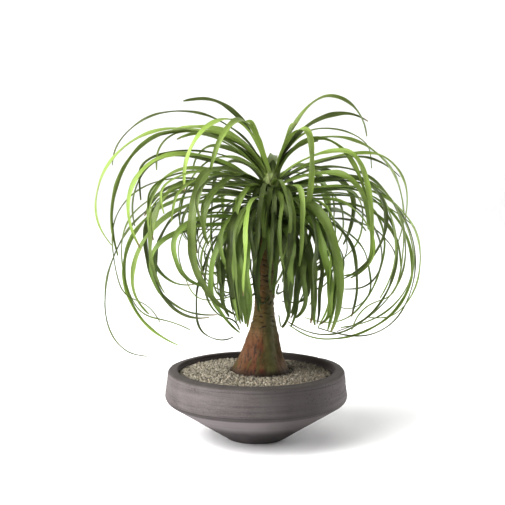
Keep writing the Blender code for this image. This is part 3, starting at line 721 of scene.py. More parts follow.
def capped_piece(name, points, ends, values=None, **details):
    """A piece of rings that close to a point at each end. Each value is 0 at those two points."""
    rows, columns = points.shape[:2]
    count = rows * columns
    values = {label: np.append(numbers, [0, 0]) for label, numbers in (values or {}).items()}
    return new_piece(
        name, np.concatenate([points.reshape(-1, 3), ends]), loop_faces(rows, columns),
        fans(rows, columns, count, count + 1), values=values, **details,
    )


def whole_turn(sides):
    """Even angles round a full turn, up to the last before it closes."""
    return np.linspace(0, 2 * np.pi, sides, endpoint=False)


def rings(radius, height, turn, x=0.0, y=0.0):
    """Points on level circles about (x, y): a row for each radius and height, a column for each angle."""
    return np.stack([x + radius * np.cos(turn), y + radius * np.sin(turn), height + 0 * turn], axis=-1)


def unit(vectors):
    """Each row brought to a length of one."""
    return vectors / np.linalg.norm(vectors, axis=1)[:, None]


def ripple(points, length, seed, stretch=PLAIN):
    """A smooth uneven field of about -1 to 1: sine waves of about this length in seeded directions."""
    random = np.random.default_rng(seed)
    ways = unit(random.normal(size=(RIPPLE_WAVES, 3)))
    lengths = length * random.uniform(*RIPPLE_LENGTHS, RIPPLE_WAVES)
    phases = random.uniform(0, 2 * np.pi, RIPPLE_WAVES)
    stretched = points * np.array(stretch)
    field = np.zeros(points.shape[:-1])
    for way, size, phase in zip(ways, lengths, phases):
        field += np.sin(2 * np.pi * (stretched @ way) / size + phase)
    return field * math.sqrt(2 / RIPPLE_WAVES)


def relief(points, layers):
    """Ripples added up, from rows of height, wave length, seed and stretch."""
    return sum(height * ripple(points, *wave) for height, *wave in layers)


def smooth_step(value, low, high):
    """0 below low, 1 above high, and 3t squared less 2t cubed between."""
    t = np.clip((value - low) / (high - low), 0, 1)
    return t * t * (3 - 2 * t)


def rounded_outline(corners, degrees_per_step):
    """A half section from (radius, height, fillet radius) corners, each fillet as an arc."""
    points = [np.array(corners[0][:2], float)]
    for before, corner, after in zip(corners[:-2], corners[1:-1], corners[2:]):
        here = np.array(corner[:2], float)
        to_before = np.array(before[:2]) - here
        to_after = np.array(after[:2]) - here
        to_before /= np.linalg.norm(to_before)
        to_after /= np.linalg.norm(to_after)
        half = 0.5 * math.acos(float(np.clip(to_before @ to_after, -1, 1)))
        sweep = math.pi - 2 * half
        inward = (to_before + to_after) / np.linalg.norm(to_before + to_after)
        middle = here + inward * corner[2] / math.sin(half)
        start = here + to_before * corner[2] / math.tan(half) - middle
        finish = here + to_after * corner[2] / math.tan(half) - middle
        share = np.linspace(0, 1, max(2, round(math.degrees(sweep) / degrees_per_step)))[:, None]
        arc = (np.sin((1 - share) * sweep) * start + np.sin(share * sweep) * finish) / math.sin(sweep)
        points.extend(middle + arc)
    points.append(np.array(corners[-1][:2], float))
    return np.array(points)


def split_long(outline, longest):
    """The outline with points added so that no step is longer than this."""
    pieces = []
    for start, end in zip(outline[:-1], outline[1:]):
        count = max(1, math.ceil(np.linalg.norm(end - start) / longest))
        pieces.append(start + (end - start) * np.arange(count)[:, None] / count)
    return np.concatenate([*pieces, outline[-1:]])


# Finishes

class Nodes:
    """A new material's node tree, with short calls for the nodes that these finishes use."""

    def __init__(self, name, roughness):
        self.material = bpy.data.materials.new(name)
        self.material.use_nodes = True
        self.tree = self.material.node_tree
        self.shader = self.tree.nodes["Principled BSDF"]
        self.shader.inputs["Roughness"].default_value = roughness
        self.base = None

    def add(self, kind, inputs=None, **details):
        made = self.tree.nodes.new("ShaderNode" + kind)
        for name, value in details.items():
            setattr(made, name, value)
        for name, value in (inputs or {}).items():
            self.put(made.inputs[name], value)
        return made

    def put(self, socket, value):
        if isinstance(value, bpy.types.NodeSocket):
            self.tree.links.new(value, socket)
        else:
            socket.default_value = value

    def place(self, scale=PLAIN):
        """Object coordinates, stretched."""
        where = self.add("TexCoord").outputs["Object"]
        return self.add("Mapping", {"Vector": where, "Scale": scale}).outputs["Vector"]

    def noise(self, scale, detail, stretch=PLAIN, rough=0.55, twist=0.0):
        inputs = {
            "Vector": self.place(stretch), "Scale": scale, "Detail": detail,
            "Roughness": rough, "Distortion": twist,
        }
        return self.add("TexNoise", inputs).outputs["Fac"]

    def cells(self, scale):
        inputs = {"Vector": self.place(), "Scale": scale}
        return self.add("TexVoronoi", inputs, feature="F1").outputs["Distance"]

    def value(self, name):
        """A number that the mesh carries."""
        return self.add("Attribute", attribute_name=name).outputs["Fac"]

    def axis(self, letter):
        where = self.add("TexCoord").outputs["Object"]
        return self.add("SeparateXYZ", {"Vector": where}).outputs[letter]

    def away(self, place=(0, 0, 0)):
        """How far a point is from the upright line through a place, which is the origin if none is given."""
        flat = self.place((1, 1, 0))
        return self.add("VectorMath", {0: flat, 1: place}, operation="DISTANCE").outputs["Value"]

    def between(self, value, low, high, start=0.0, end=1.0):
        """Start up to low, end from high on, and smooth between. High may be the lower of the two."""
        inputs = {"Value": value, "From Min": low, "From Max": high, "To Min": start, "To Max": end}
        return self.add("MapRange", inputs, interpolation_type="SMOOTHSTEP").outputs["Result"]

    def band(self, value, first, second):
        """1 where both of two limits are passed, each given as where it starts and where it is full."""
        return self.product(self.between(value, *first), self.between(value, *second))

    def patches(self, scale, detail, *limits, stretch=PLAIN):
        """Noise cut to patches by limits, as between has them."""
        return self.between(self.noise(scale, detail, stretch), *limits)

    def wavy(self, letter, depth, *noise):
        """An axis whose lines of one value waver by noise of this depth."""
        return self.sum(self.axis(letter), self.product(self.noise(*noise), depth))

    def sum(self, *values):
        return self.fold("ADD", values)

    def product(self, *values):
        return self.fold("MULTIPLY", values)

    def fold(self, operation, values):
        total = values[0]
        for value in values[1:]:
            total = self.add("Math", {0: total, 1: value}, operation=operation).outputs[0]
        return total

    def only(self, operation, value):
        """A sum that takes one number."""
        return self.add("Math", {0: value}, operation=operation).outputs[0]

    def mix(self, share, first, second, way="MIX"):
        inputs = {"Factor": share, 6: rgba(first), 7: rgba(second)}
        return self.add("Mix", inputs, data_type="RGBA", blend_type=way).outputs[2]

    def coat(self, colour, *shares):
        """A colour laid over the base, by the product of these shares."""
        self.base = self.mix(self.product(*shares), self.base, colour)

    def ramp(self, value, *stops):
        """A colour ramp from (place, colour) stops."""
        made = self.add("ValToRGB", {"Fac": value})
        points = made.color_ramp.elements
        points[0].position, points[0].color = stops[0][0], rgba(stops[0][1])
        points[1].position, points[1].color = stops[-1][0], rgba(stops[-1][1])
        for place, shade in stops[1:-1]:
            points.new(place).color = rgba(shade)
        return made.outputs["Color"]

    def bump(self, height, distance, strength=1.0):
        inputs = {"Height": height, "Distance": distance, "Strength": strength}
        return self.add("Bump", inputs).outputs["Normal"]

    def finish(self, normal, roughness=None):
        for name, value in (("Base Color", self.base), ("Roughness", roughness), ("Normal", normal)):
            if value is not None:
                self.put(self.shader.inputs[name], value)
        return self.material


def rgba(shade):
    """A colour with its alpha, or the socket that holds one."""
    if isinstance(shade, bpy.types.NodeSocket):
        return shade
    return (*tuple(shade)[:3], 1.0)


def concrete_finish(look):
    """Cast concrete: clouds, level streaks, grain and pores, then painted shade on the right, the cone
    painted paler as painted light from the floor, lighter at the left, painted shade in a band at the crease
    above it and at the foot, the crown's shadow painted on the front of the rim, a stain on the lip, the
    inner wall above the gravel darker towards +X, and the casting lines."""
    n = Nodes("warm_grey_concrete", 0.86)
    clouds = n.noise(11, 5, rough=0.6, twist=0.6)
    streaks = n.noise(5, 5, (1, 1, 34), rough=0.62)
    fine_streaks = n.noise(16, 4, (1, 1, 22), rough=0.7)
    grain = n.noise(620, 2)
    shade = n.sum(n.product(clouds, 0.32), n.product(streaks, 0.42), n.product(fine_streaks, 0.26))
    n.base = n.ramp(shade, (0.36, look.dark), (0.5, tint(look.light, look.dark, 0.42)), (0.64, look.light))
    n.coat(PALE_GRAIN, n.between(grain, 0.4, 0.75, 0.0, 0.16))
    pores = n.between(n.cells(210), 0.14, 0.34)
    hole = n.product(n.between(pores, 1.0, 0.0), n.patches(26, 2, 0.5, 0.6))
    n.coat(PORE, hole, 0.6)
    level = n.wavy("Z", 0.0016, 14, 3)
    # Painted shade: the right of the bowl darker.
    n.coat(tint(look.dark, BLACK, 0.15), n.band(n.axis("X"), *SIDE_SHADE_ACROSS), 0.6)
    # The cone painted paler as painted light from the floor, lighter at the left and darker at the right.
    cone = n.mix(n.between(n.axis("X"), *CONE_ACROSS), LIT_CONE, SHADED_CONE)
    n.coat(cone, n.between(level, *CONE_BELOW, 0.0, 0.8))
    # Painted shade: a darker band at the crease.
    n.coat(look.dark, n.band(level, *CREASE_SHADE), 0.5)
    # Painted shade at the foot of the bowl, darker towards the floor.
    foot = n.product(n.between(level, *FOOT_SHADE_BELOW), n.patches(30, 4, 0.3, 0.6, 0.8, 1.0))
    n.coat(tint(look.dark, BLACK, 0.4), foot, 0.8)
    # Painted shadow of the crown on the rim's top, deeper at the front.
    n.coat(RIM_SHADOW, n.between(n.axis("Z"), *RIM_ABOVE), n.between(n.axis("Y"), *RIM_ACROSS, 0.38, 0.62))
    lip = n.product(n.between(n.away(), *LIP_REACH), n.between(n.axis("Z"), *LIP_ABOVE))
    n.coat(LIP_STAIN, lip, n.patches(36, 3, 0.3, 0.6, 0.35, 0.75))
    # The inner wall above the gravel is darker towards +X.
    inside = n.product(n.between(n.away(), *INSIDE_REACH), n.band(n.axis("Z"), *INSIDE_HEIGHTS))
    n.coat(INNER_WALL_DARK, inside, n.between(n.wavy("X", 0.1, 18, 4), *INSIDE_ACROSS, 0.35, 0.95))
    for place, width, share in CASTING_LINES:
        away = n.only("ABSOLUTE", n.sum(level, -place))
        n.coat(CASTING_DARK, n.between(away, width, 0.0), n.patches(24, 3, 0.3, 0.6, 0.35, 1.0), share)
    height = n.sum(n.product(fine_streaks, 0.5), n.product(grain, 0.16), n.product(hole, -0.8))
    return n.finish(n.bump(height, 0.0005, 0.6), n.between(clouds, 0.3, 0.7, 0.92, 0.78))


def tint(first, second, share):
    """A colour this share of the way from the first to the second."""
    return tuple(a + (b - a) * share for a, b in zip(first, second))


def soil_finish(look):
    """Crumbly dark soil with paler fibres."""
    n = Nodes("potting_soil", 0.95)
    crumbs = n.cells(240)
    n.base = n.ramp(crumbs, (0.1, look.soil), (0.8, PALE_CRUMB))
    n.coat(SOIL_FIBRE, n.patches(420, 3, 0.62, 0.7))
    return n.finish(n.bump(crumbs, 0.002))


def bed_finish(look):
    """The small stones and grit between the pebbles."""
    n = Nodes("gravel_grit", 0.93)
    grit = n.cells(330)
    n.base = n.ramp(grit, (0.05, look.middle), (0.5, tint(look.middle, look.dark, 0.6)), (0.8, look.dark))
    n.coat(look.dark, n.patches(190, 3, 0.5, 0.66, 0, 0.5))
    return n.finish(n.bump(n.product(grit, -1.0), 0.0025))


def pebble_finish(look):
    """Stones of one pale to dark range, each with its own tone, dusty and speckled, then painted shade at
    the right, painted light at the left and a painted shadow round the foot of the stem, deeper to the
    right."""
    n = Nodes("olive_grey_pebbles", 0.88)
    n.base = n.ramp(
        n.value("tone"), (0.0, look.dark), (0.3, tint(look.dark, look.middle, 0.7)), (0.62, look.middle),
        (0.85, tint(look.middle, look.pale, 0.5)), (1.0, look.pale),
    )
    n.coat(WARM_STONE, n.between(n.value("warmth"), 0.6, 1.0, 0, 0.4))
    n.coat(STONE_DUST, n.patches(900, 3, 0.5, 0.68, 0, 0.35))
    n.coat(STONE_SPECKLE, n.patches(500, 2, 0.58, 0.72, 0, 0.3))
    # Painted shade: the pebbles darker to the right.
    n.coat(tint(look.dark, look.soil, 0.4), n.between(n.wavy("X", 0.06, 14, 3), *SHADED_STONES, 0, 0.45))
    # Painted light: the pebbles paler to the left.
    n.coat(look.pale, n.between(n.axis("X"), *LIT_STONES, 0, 0.28))
    # Painted shadow on the pebbles round the foot of the stem, deeper to the right.
    stem_shadow = n.between(n.away(STEM_SHADOW_MIDDLE), *STEM_SHADOW_REACH)
    n.coat(STEM_SHADOW_COLOUR, stem_shadow, n.between(n.axis("X"), *STEM_SHADOW_ACROSS, 0.3, 0.8))
    return n.finish(n.bump(n.noise(1400, 2), 0.0002), n.patches(120, 2, 0.3, 0.7, 0.95, 0.78))


def stem_finish(look):
    """Cork: rust at the flare, brown and olive up the neck, dark grooves and flakes, then painted light on
    the left, painted shade at the right of the flare and at the foot, and a painted green reflection down
    the right side.
    """
    n = Nodes("corky_bark", 0.82)
    height = n.axis("Z")
    low = n.between(height, *FLARE_BELOW)
    high = n.between(height, *NECK_ABOVE)
    patches = n.noise(26, 5, (1, 1, 0.5), rough=0.6, twist=0.4)
    fissures = n.noise(210, 4, (1, 1, 0.07), rough=0.6)
    strips = n.noise(60, 3, (1, 1, 0.06), rough=0.5, twist=0.3)
    scars = n.noise(70, 4, (0.25, 0.25, 3.0), rough=0.65)
    n.base = n.mix(n.between(height, *RUST_TO_CORK), look.rust, look.cork)
    n.coat(tint(look.rust, WARM_CORK, 0.45), n.between(patches, 0.42, 0.66, 0, 0.45))
    # Painted light: the lit left of the stem is a paler ochre.
    n.coat(LIT_OCHRE, n.between(n.wavy("X", 0.02, 34, 3, (1, 1, 0.3)), *LIT_SIDE_ACROSS), 0.55)
    n.coat(look.crack_and_shade, n.between(fissures, 0.49, 0.38), low, 0.75)
    n.coat(look.moss_and_reflection, n.between(strips, 0.52, 0.60), low, 0.55)
    n.coat(SCAR_RING, n.between(scars, 0.46, 0.56), high, 0.8)
    side = n.wavy("X", 0.022, 30, 4, (1, 1, 0.4))
    n.coat(SHADED_BROWN, n.between(side, *SHADED_ACROSS), low, 0.75)
    # A painted green reflection of the leaves down the right side of the stem.
    green = n.product(n.band(side, *GREEN_REFLECTION_ACROSS), n.patches(55, 4, 0.30, 0.5, 0.55, 1.0))
    n.coat(tint(look.moss_and_reflection, PALE_REFLECTED_GREEN, 0.4), green, 0.8)
    uneven = n.sum(n.wavy("Z", 0.045, 38, 4, (1, 1, 0.4)), -0.022)
    n.coat(OLIVE, n.band(uneven, *OLIVE_RING), 0.5)
    n.coat(look.crack_and_shade, n.between(n.value("groove"), 0.25, 0.9, 0, 0.85))
    # Painted shade at the foot of the stem, by the gravel.
    n.coat(look.crack_and_shade, n.between(height, *BASE_SHADE_BELOW), n.patches(60, 3, 0.2, 0.6, 0.6, 1.0), 0.85)
    flakes = n.sum(n.product(fissures, low), n.product(scars, high), n.product(n.noise(420, 3), 0.4))
    return n.finish(n.bump(flakes, 0.0012, 0.8), n.between(patches, 0.3, 0.7, 0.9, 0.68))


def leaf_finish(look, name, painted_light):
    """A strap leaf: green by age, its tone scaled for the piece as painted light and shade, veined along its
    length, paler at its root, with a painted highlight along its keel, dry at some tips, and lit from behind
    through the blade."""
    n = Nodes(name, 0.42)
    along, across, tone, age = (n.value(label) for label in ("along", "across", "tone", "age"))
    # The piece's brightness factor scales the tone: painted light and shade.
    shade = n.between(tone, 0.0, 1.0, DARKEST_TONE, BRIGHTEST_TONE * painted_light)
    grey = n.add("CombineXYZ", {"X": shade, "Y": shade, "Z": shade}).outputs[0]
    n.base = n.mix(1.0, n.mix(age, look.young, look.old), grey, "MULTIPLY")
    n.coat(tint(look.young, PALE_PATCH, 0.3), n.patches(30, 4, 0.42, 0.7, 0, 0.3))
    vein = n.only("SINE", n.product(across, VEINS))
    n.coat(VEIN, n.between(vein, -0.2, 1.0, 0, 0.15))
    # A painted highlight along the keel.
    n.coat(look.sheath, n.between(n.only("ABSOLUTE", across), 0.16, 0.0), 0.3)
    n.coat(look.sheath, n.between(along, 0.09, 0.0, 0, 0.75))
    tips = n.product(n.between(along, 0.94, 0.995), n.between(n.value("dryness"), 0.7, 0.9))
    spots = n.product(n.patches(48, 3, 0.68, 0.76), n.between(age, 0.4, 0.9), 0.4)
    n.coat(look.dry, n.sum(tips, spots))
    n.finish(n.bump(vein, 0.00012, 0.6), n.patches(70, 3, 0.3, 0.7, 0.44, 0.31))
    n.shader.inputs["Specular IOR Level"].default_value = 0.5
    glow = n.mix(tips, n.mix(0.45, look.glow, n.base), look.dry)
    through = n.add("BsdfTranslucent", {"Color": glow}).outputs["BSDF"]
    both = n.add("MixShader", {0: look.lit_through, 1: n.shader.outputs["BSDF"], 2: through})
    n.put(n.tree.nodes["Material Output"].inputs["Surface"], both.outputs[0])
    return n.material


def core_finish(look):
    """The sheaths of the leaf bases: brown lower down, pale green above, dry edges and a green tip."""
    n = Nodes("leaf_bases", 0.6)
    n.base = n.mix(n.between(n.axis("Z"), *SHEATH_ABOVE), LOW_SHEATH, look.sheath)
    n.coat(look.old, n.patches(160, 4, 0.4, 0.65, 0, 0.6, stretch=(1, 1, 0.15)))
    n.coat(DRY_EDGE, n.between(n.value("edge"), 0.55, 1.0, 0, 0.8))
    n.coat(TIP_GREEN, n.between(n.axis("Z"), *TIP_ABOVE, 0, 0.85))
    return n.finish(n.bump(n.noise(260, 3, (1, 1, 0.12)), 0.0005))


def floor_finish(look):
    """A plain pale floor, a little clouded, that turns grey far out."""
    n = Nodes("pale_floor", 0.75)
    n.shader.inputs["Specular IOR Level"].default_value = 0.2
    n.base = n.mix(n.patches(3, 2, 0.3, 0.7, 0, 0.02), look.floor, CLOUDED_FLOOR)
    n.coat(FAR_GREY, n.between(n.away(), *FAR_FLOOR))
    return n.finish(None)


# Bowl and gravel

def inner_wall_radius(height):
    """Radius of the bowl's inner wall above its turn."""
    share = (height - INNER_TURN[1]) / (POT_HEIGHT - INNER_TURN[1])
    return INNER_TURN[0] + (RIM_INNER_RADIUS - INNER_TURN[0]) * share


def bowl_rows(longest):
    """The bowl's half section, from the inner floor to the foot, with no step longer than this."""
    return split_long(rounded_outline(BOWL_CORNERS, FILLET_STEP), longest)


def chip_depths(points):
    """How deep each point lies in a chip: a round dent that ends in a crisp edge, for each chip."""
    outline = bowl_rows(CHIP_OUTLINE_STEP)
    outer = outline[len(outline) // 2 :]
    depth = np.zeros(points.shape[:-1])
    for number, (azimuth, height, radius, most) in enumerate(CHIPS):
        reach = np.interp(height, outer[::-1, 1], outer[::-1, 0])
        turn = math.radians(azimuth)
        middle = np.array([reach * math.cos(turn), reach * math.sin(turn), height])
        uneven = CHIP_UNEVEN * radius * ripple(points, radius, CHIP_SEED + number)
        away = np.linalg.norm(points - middle, axis=-1) + uneven
        depth = np.maximum(depth, most * smooth_step(away, radius, CHIP_FLAT * radius))
    return depth


def bowl_points(look):
    """The section turned about Z. The outer side moves in and out with level casting lines and chips."""
    section = bowl_rows(look.row_height)[1:-1]
    ahead = unit(np.gradient(section, axis=0))
    outward = np.stack([-ahead[:, 1], ahead[:, 0]], axis=-1)
    # the last rows are the foot, which faces down
    outward *= math.copysign(1, -float(outward[-FOOT_ROWS:, 1].mean()))
    turn = whole_turn(look.columns)
    height = section[:, 1:]
    points = rings(section[:, :1], height, turn)
    rim = int(np.argmax(height))
    outer = smooth_step(np.arange(len(section)), rim, rim + OUTER_EASE)[:, None] * (height > FOOT_TOP)
    calm = CALM_LEAST + (1 - CALM_LEAST) * smooth_step(height, *CALM_CONE)
    waves = look.waviness * calm * relief(points, CASTING_WAVES)
    move = (waves - OUTER_SINK - chip_depths(points)) * outer
    points[..., 0] += move * outward[:, :1] * np.cos(turn)
    points[..., 1] += move * outward[:, :1] * np.sin(turn)
    points[..., 2] += move * outward[:, 1:]
    return points


def make_bowl(look):
    ends = np.array([[0, 0, FLOOR_THICKNESS], [0, 0, 0]], float)
    bowl = capped_piece("concrete_bowl", bowl_points(look), ends, material=concrete_finish(look), sharp=60)
    cut_drain_holes(bowl)
    return bowl


def cut_drain_holes(bowl):
    """Three round holes through the foot, cut with one closed cutter that is then removed."""
    turn = whole_turn(DRAIN_SIDES)
    ring = np.stack([np.cos(turn), np.sin(turn)], axis=-1) * DRAIN_RADIUS
    tubes = []
    for number in range(DRAIN_HOLES):
        where = 2 * math.pi * number / DRAIN_HOLES + math.pi / 2
        middle = DRAIN_RING * np.array([math.cos(where), math.sin(where)])
        for height in (-CUT_PAST, FLOOR_THICKNESS + CUT_PAST):
            tubes.append(np.column_stack([ring + middle, np.full(DRAIN_SIDES, height)]))
    starts = 2 * DRAIN_SIDES * np.arange(DRAIN_HOLES)
    walls = np.concatenate([loop_faces(2, DRAIN_SIDES, start) for start in starts])
    lids = np.arange(2 * DRAIN_HOLES * DRAIN_SIDES).reshape(2 * DRAIN_HOLES, DRAIN_SIDES)
    lids[::2] = lids[::2, ::-1]
    cutter = new_piece("drain_cutter", np.concatenate(tubes), walls, lids)
    cut = bowl.modifiers.new("drain_holes", "BOOLEAN")
    cut.operation = "DIFFERENCE"
    cut.solver = "EXACT"
    cut.object = cutter
    graph = bpy.context.evaluated_depsgraph_get()
    mesh = bpy.data.meshes.new_from_object(bowl.evaluated_get(graph))
    bowl.modifiers.clear()
    bowl.data = mesh
    bpy.data.objects.remove(cutter)


def gravel_height(x, y):
    """The gravel's top: a low mound that falls to +X."""
    share = np.hypot(x, y) / inner_wall_radius(GRAVEL_TOP)
    return GRAVEL_TOP + GRAVEL_MOUND * (1 - share**2) - GRAVEL_FALL * x / inner_wall_radius(GRAVEL_TOP)


def make_bed(look):
    """A closed ring of grit round the stem: bottom, outer wall, top and inner wall as one loop."""
    turn = whole_turn(BED_COLUMNS)
    outer = inner_wall_radius(GRAVEL_TOP + GRAVEL_FALL) - 2 * GAP
    inner = float(stem_radius(GRAVEL_TOP)) + 2 * GAP
    across = np.linspace(outer, inner, BED_ROWS)[:, None]
    share = (across - inner) / (outer - inner)
    x = across * np.cos(turn) + stem_x(GRAVEL_TOP) * (1 - share)
    y = across * np.sin(turn) + STEM_Y * (1 - share)
    top = np.stack([x, y, gravel_height(x, y) - BED_SINK], axis=-1)
    top[..., 2] += relief(top, BED_WAVES)
    low = top[[-1, 0]].copy()
    low[..., 2] = GRAVEL_BOTTOM
    loop = np.concatenate([low[1:], top, low[:1]])
    faces = np.concatenate([loop_faces(len(loop), BED_COLUMNS), closing_faces(len(loop), BED_COLUMNS)])
    return new_piece("gravel_grit", loop, faces, material=bed_finish(look))


def closing_faces(rows, columns):
    """Faces from the last ring back to the first."""
    column, after = neighbours(columns)
    last = (rows - 1) * columns
    return np.stack([last + column, last + after, after, column], axis=-1)


def pebble_places(look):
    """Even places on the gravel by golden turns, less those that the stem or the wall would hold."""
    random = np.random.default_rng(PEBBLE_SEED)
    count = look.count
    reach = inner_wall_radius(GRAVEL_TOP)
    size = look.smallest + (look.largest - look.smallest) * random.beta(*PEBBLE_SIZES, count)
    radius = reach * np.sqrt((np.arange(count) + 0.5) / count)
    turn = 2 * np.pi * GOLDEN_TURN * np.arange(count)
    x = radius * np.cos(turn) + random.normal(0, PEBBLE_JITTER, count)
    y = radius * np.sin(turn) + random.normal(0, PEBBLE_JITTER, count)
    z = gravel_height(x, y) - random.uniform(*PEBBLE_SINK, count)
    in_bowl = np.hypot(x, y) < inner_wall_radius(z) - PEBBLE_FROM_WALL * size - GAP
    off_stem = np.hypot(x - stem_x(z), y - STEM_Y) > stem_radius(z) + PEBBLE_FROM_STEM * size
    fits = in_bowl & off_stem
    return x[fits], y[fits], z[fits], size[fits], random


def make_pebbles(look):
    """Stones: a ball of three rings and two poles, dented, squeezed along its own axes and turned."""
    x, y, z, size, random = pebble_places(look)
    count = len(x)
    lift = np.radians(PEBBLE_LIFTS)[:, None]
    ball = rings(np.cos(lift), np.sin(lift), whole_turn(PEBBLE_SIDES))
    ball = np.concatenate([ball.reshape(-1, 3), [[0, 0, -1], [0, 0, 1]]])
    stones = ball[None] * (1 + PEBBLE_DENTS * random.uniform(-1, 1, (count, len(ball), 1)))
    squeeze = np.stack([random.uniform(*limits, count) for limits in PEBBLE_SQUEEZES], axis=-1)
    stones = stones * squeeze[:, None] * size[:, None, None] / 2
    tilt = random.normal(0, PEBBLE_TILT, count)
    spin = random.uniform(0, 2 * np.pi, count)
    stones = turned(turned(stones, tilt, 0), spin, 2)
    stones += np.stack([x, y, z], axis=-1)[:, None]
    rows = len(PEBBLE_LIFTS)
    poles = rows * PEBBLE_SIDES
    sides = fan_triangles(loop_faces(rows, PEBBLE_SIDES))
    block = np.concatenate([sides, fans(rows, PEBBLE_SIDES, poles, poles + 1)])
    faces = (block[None] + np.arange(count)[:, None, None] * len(ball)).reshape(-1, 3)
    tone = np.repeat(np.clip(random.normal(*PEBBLE_TONES, count), 0, 1), len(ball))
    warmth = np.repeat(random.uniform(0, 1, count), len(ball))
    values = {"tone": tone, "warmth": warmth}
    return new_piece("pebbles", stones, faces, material=pebble_finish(look), values=values, sharp=62)


def fan_triangles(quads):
    """Each four-sided face as two triangles."""
    return np.concatenate([quads[:, [0, 1, 2]], quads[:, [0, 2, 3]]])


def turned(points, angles, axis):
    """Each set of points turned by its own angle about one axis."""
    first, second = [(1, 2), (2, 0), (0, 1)][axis]
    cos, sin = np.cos(angles)[:, None], np.sin(angles)[:, None]
    out = points.copy()
    out[..., first] = cos * points[..., first] - sin * points[..., second]
    out[..., second] = sin * points[..., first] + cos * points[..., second]
    return out


# Stem and core

def stem_x(height):
    """The stem's axis in X at these heights."""
    heights, places = np.array(STEM_LEAN).T
    return np.interp(height, heights, places)


def stem_radius(height):
    heights, radii = np.array(STEM_RADII).T
    return np.interp(height, heights, radii)


def softened(values, passes):
    """Values along the first axis, each passed over with weights of one, two and one."""
    for _ in range(passes):
        values[1:-1] = (values[:-2] + 2 * values[1:-1] + values[2:]) / 4
    return values


def stem_surface(look):
    """Rings about the leaning axis. Radius: the profile, shallow flutes on the flare, leaf scars as
    narrow grooves that wander round the neck, and cracks in the cork. Also how deep each groove is."""
    heights = np.linspace(STEM_RADII[0][0], STEM_TOP, look.rows)
    turn = whole_turn(look.columns)
    radii = softened(stem_radius(heights), 6)[:, None]
    axis = softened(stem_x(heights), 12)[:, None]
    plain = rings(radii, heights[:, None], turn, axis, STEM_Y)
    z = plain[..., 2]
    above = smooth_step(z, *FLUTES_FROM) * (1 - smooth_step(z, *FLUTES_TO))
    flutes = sum(share * np.cos(count * turn + phase) for share, count, phase in FLUTES)
    step = (z + relief(plain, SCAR_WANDER)) / look.scar_pitch
    groove = np.exp(-(((step % 1) - 0.5) / SCAR_WIDTH) ** 2) * smooth_step(z, *SCARS_FROM)
    groove = groove * (SCAR_LEAST + relief(plain, SCAR_FADE))
    cork = smooth_step(relief(plain, CORK_WAVES), *CORK_SHARE) * (1 - smooth_step(z, *CORK_TO))
    knot = np.exp(-np.linalg.norm((plain - knot_place()) / np.array(KNOT_SIZE), axis=-1) ** 2)
    depth = look.scar_depth * groove + look.cork_depth * cork
    depth = depth - SWELL_SHARE * relief(plain, STEM_SWELL) - STEM_GROWTH
    depth = depth * smooth_step(z, *BURIED) + KNOT_DEPTH * knot
    spread = radii * (1 + FLUTE_RELIEF * above * flutes) - depth
    points = rings(spread, heights[:, None], turn, axis, STEM_Y)
    return points, np.clip(np.maximum(np.maximum(groove, CORK_DARK * cork), KNOT_DARK * knot), 0, 1)


def knot_place():
    """Middle of the small dark hollow in the front of the neck."""
    x = float(stem_x(KNOT_HEIGHT)) - KNOT_LEFT
    return np.array([x, STEM_Y - float(stem_radius(KNOT_HEIGHT)) + KNOT_IN, KNOT_HEIGHT])


def make_stem(look):
    points, groove = stem_surface(look)
    ends = points[[0, -1]].mean(axis=1)
    finish = stem_finish(look)
    return capped_piece("corky_stem", points, ends, values={"groove": groove}, material=finish, sharp=70)


def make_core(look):
    """The core: rings with overlapping sheaths in two crossing spirals, each with a raised upper edge."""
    heights = np.linspace(CORE_RADII[0][0], CORE_TIP - 2, CORE_ROWS)
    turn = whole_turn(CORE_COLUMNS)
    levels, radii = np.array(CORE_RADII).T
    radius = softened(np.interp(heights, levels, radii), 6)[:, None]
    sheaths = [((count * turn / (2 * np.pi) + heights[:, None] / gain) % 1) ** 3 for count, gain in SPIRALS]
    edge = np.maximum(*sheaths)
    spread = radius - CORE_SINK + SHEATH_RELIEF * edge
    axis = softened(stem_x(heights), 10)[:, None]
    points = rings(spread, heights[:, None], turn, axis, STEM_Y)
    ends = np.array([points[0].mean(axis=0), [float(stem_x(CORE_TIP)), STEM_Y, CORE_TIP - 0.5]])
    finish = core_finish(look)
    return capped_piece("leaf_core", points, ends, values={"edge": edge}, material=finish, sharp=70)


# Leaves

def direction(slope):
    """A step of length one at a slope in degrees, as (reach, height)."""
    return np.array([math.cos(math.radians(slope)), math.sin(math.radians(slope))])


def crossing(first, second):
    """The area between two steps, above 0 where the second turns up from the first."""
    return float(first[0] * second[1] - first[1] * second[0])


def span(start, start_slope, end, end_slope, steps=20):
    """A cubic between two places with a slope in degrees at each, a quarter ellipse where it can be."""
    leave, arrive = direction(start_slope), direction(end_slope)
    chord = end - start
    turn = math.radians(abs(end_slope - start_slope))
    cross = crossing(leave, arrive)
    out = in_ = 0.5 * float(np.linalg.norm(chord))
    handle = ROUND_HANDLE
    if abs(cross) > 0.05 and turn < WIDEST_TURN:
        meets = crossing(chord, arrive) / cross, crossing(leave, chord) / cross
        if min(meets) > 0:
            out, in_ = meets
            handle = 4 / 3 * math.tan(turn / 4) / math.tan(turn / 2)
    t = np.linspace(0, 1, steps)[:, None]
    first = start + handle * out * leave
    second = end - handle * in_ * arrive
    return (1 - t) ** 3 * start + 3 * (1 - t) ** 2 * t * first + 3 * (1 - t) * t**2 * second + t**3 * end


def even_steps(line, count):
    """The line's points again, at even lengths along it."""
    lengths = np.concatenate([[0], np.cumsum(np.linalg.norm(np.diff(line, axis=0), axis=1))])
    wanted = np.linspace(0, lengths[-1], count)
    return np.stack([np.interp(wanted, lengths, line[:, axis]) for axis in range(2)], axis=-1)


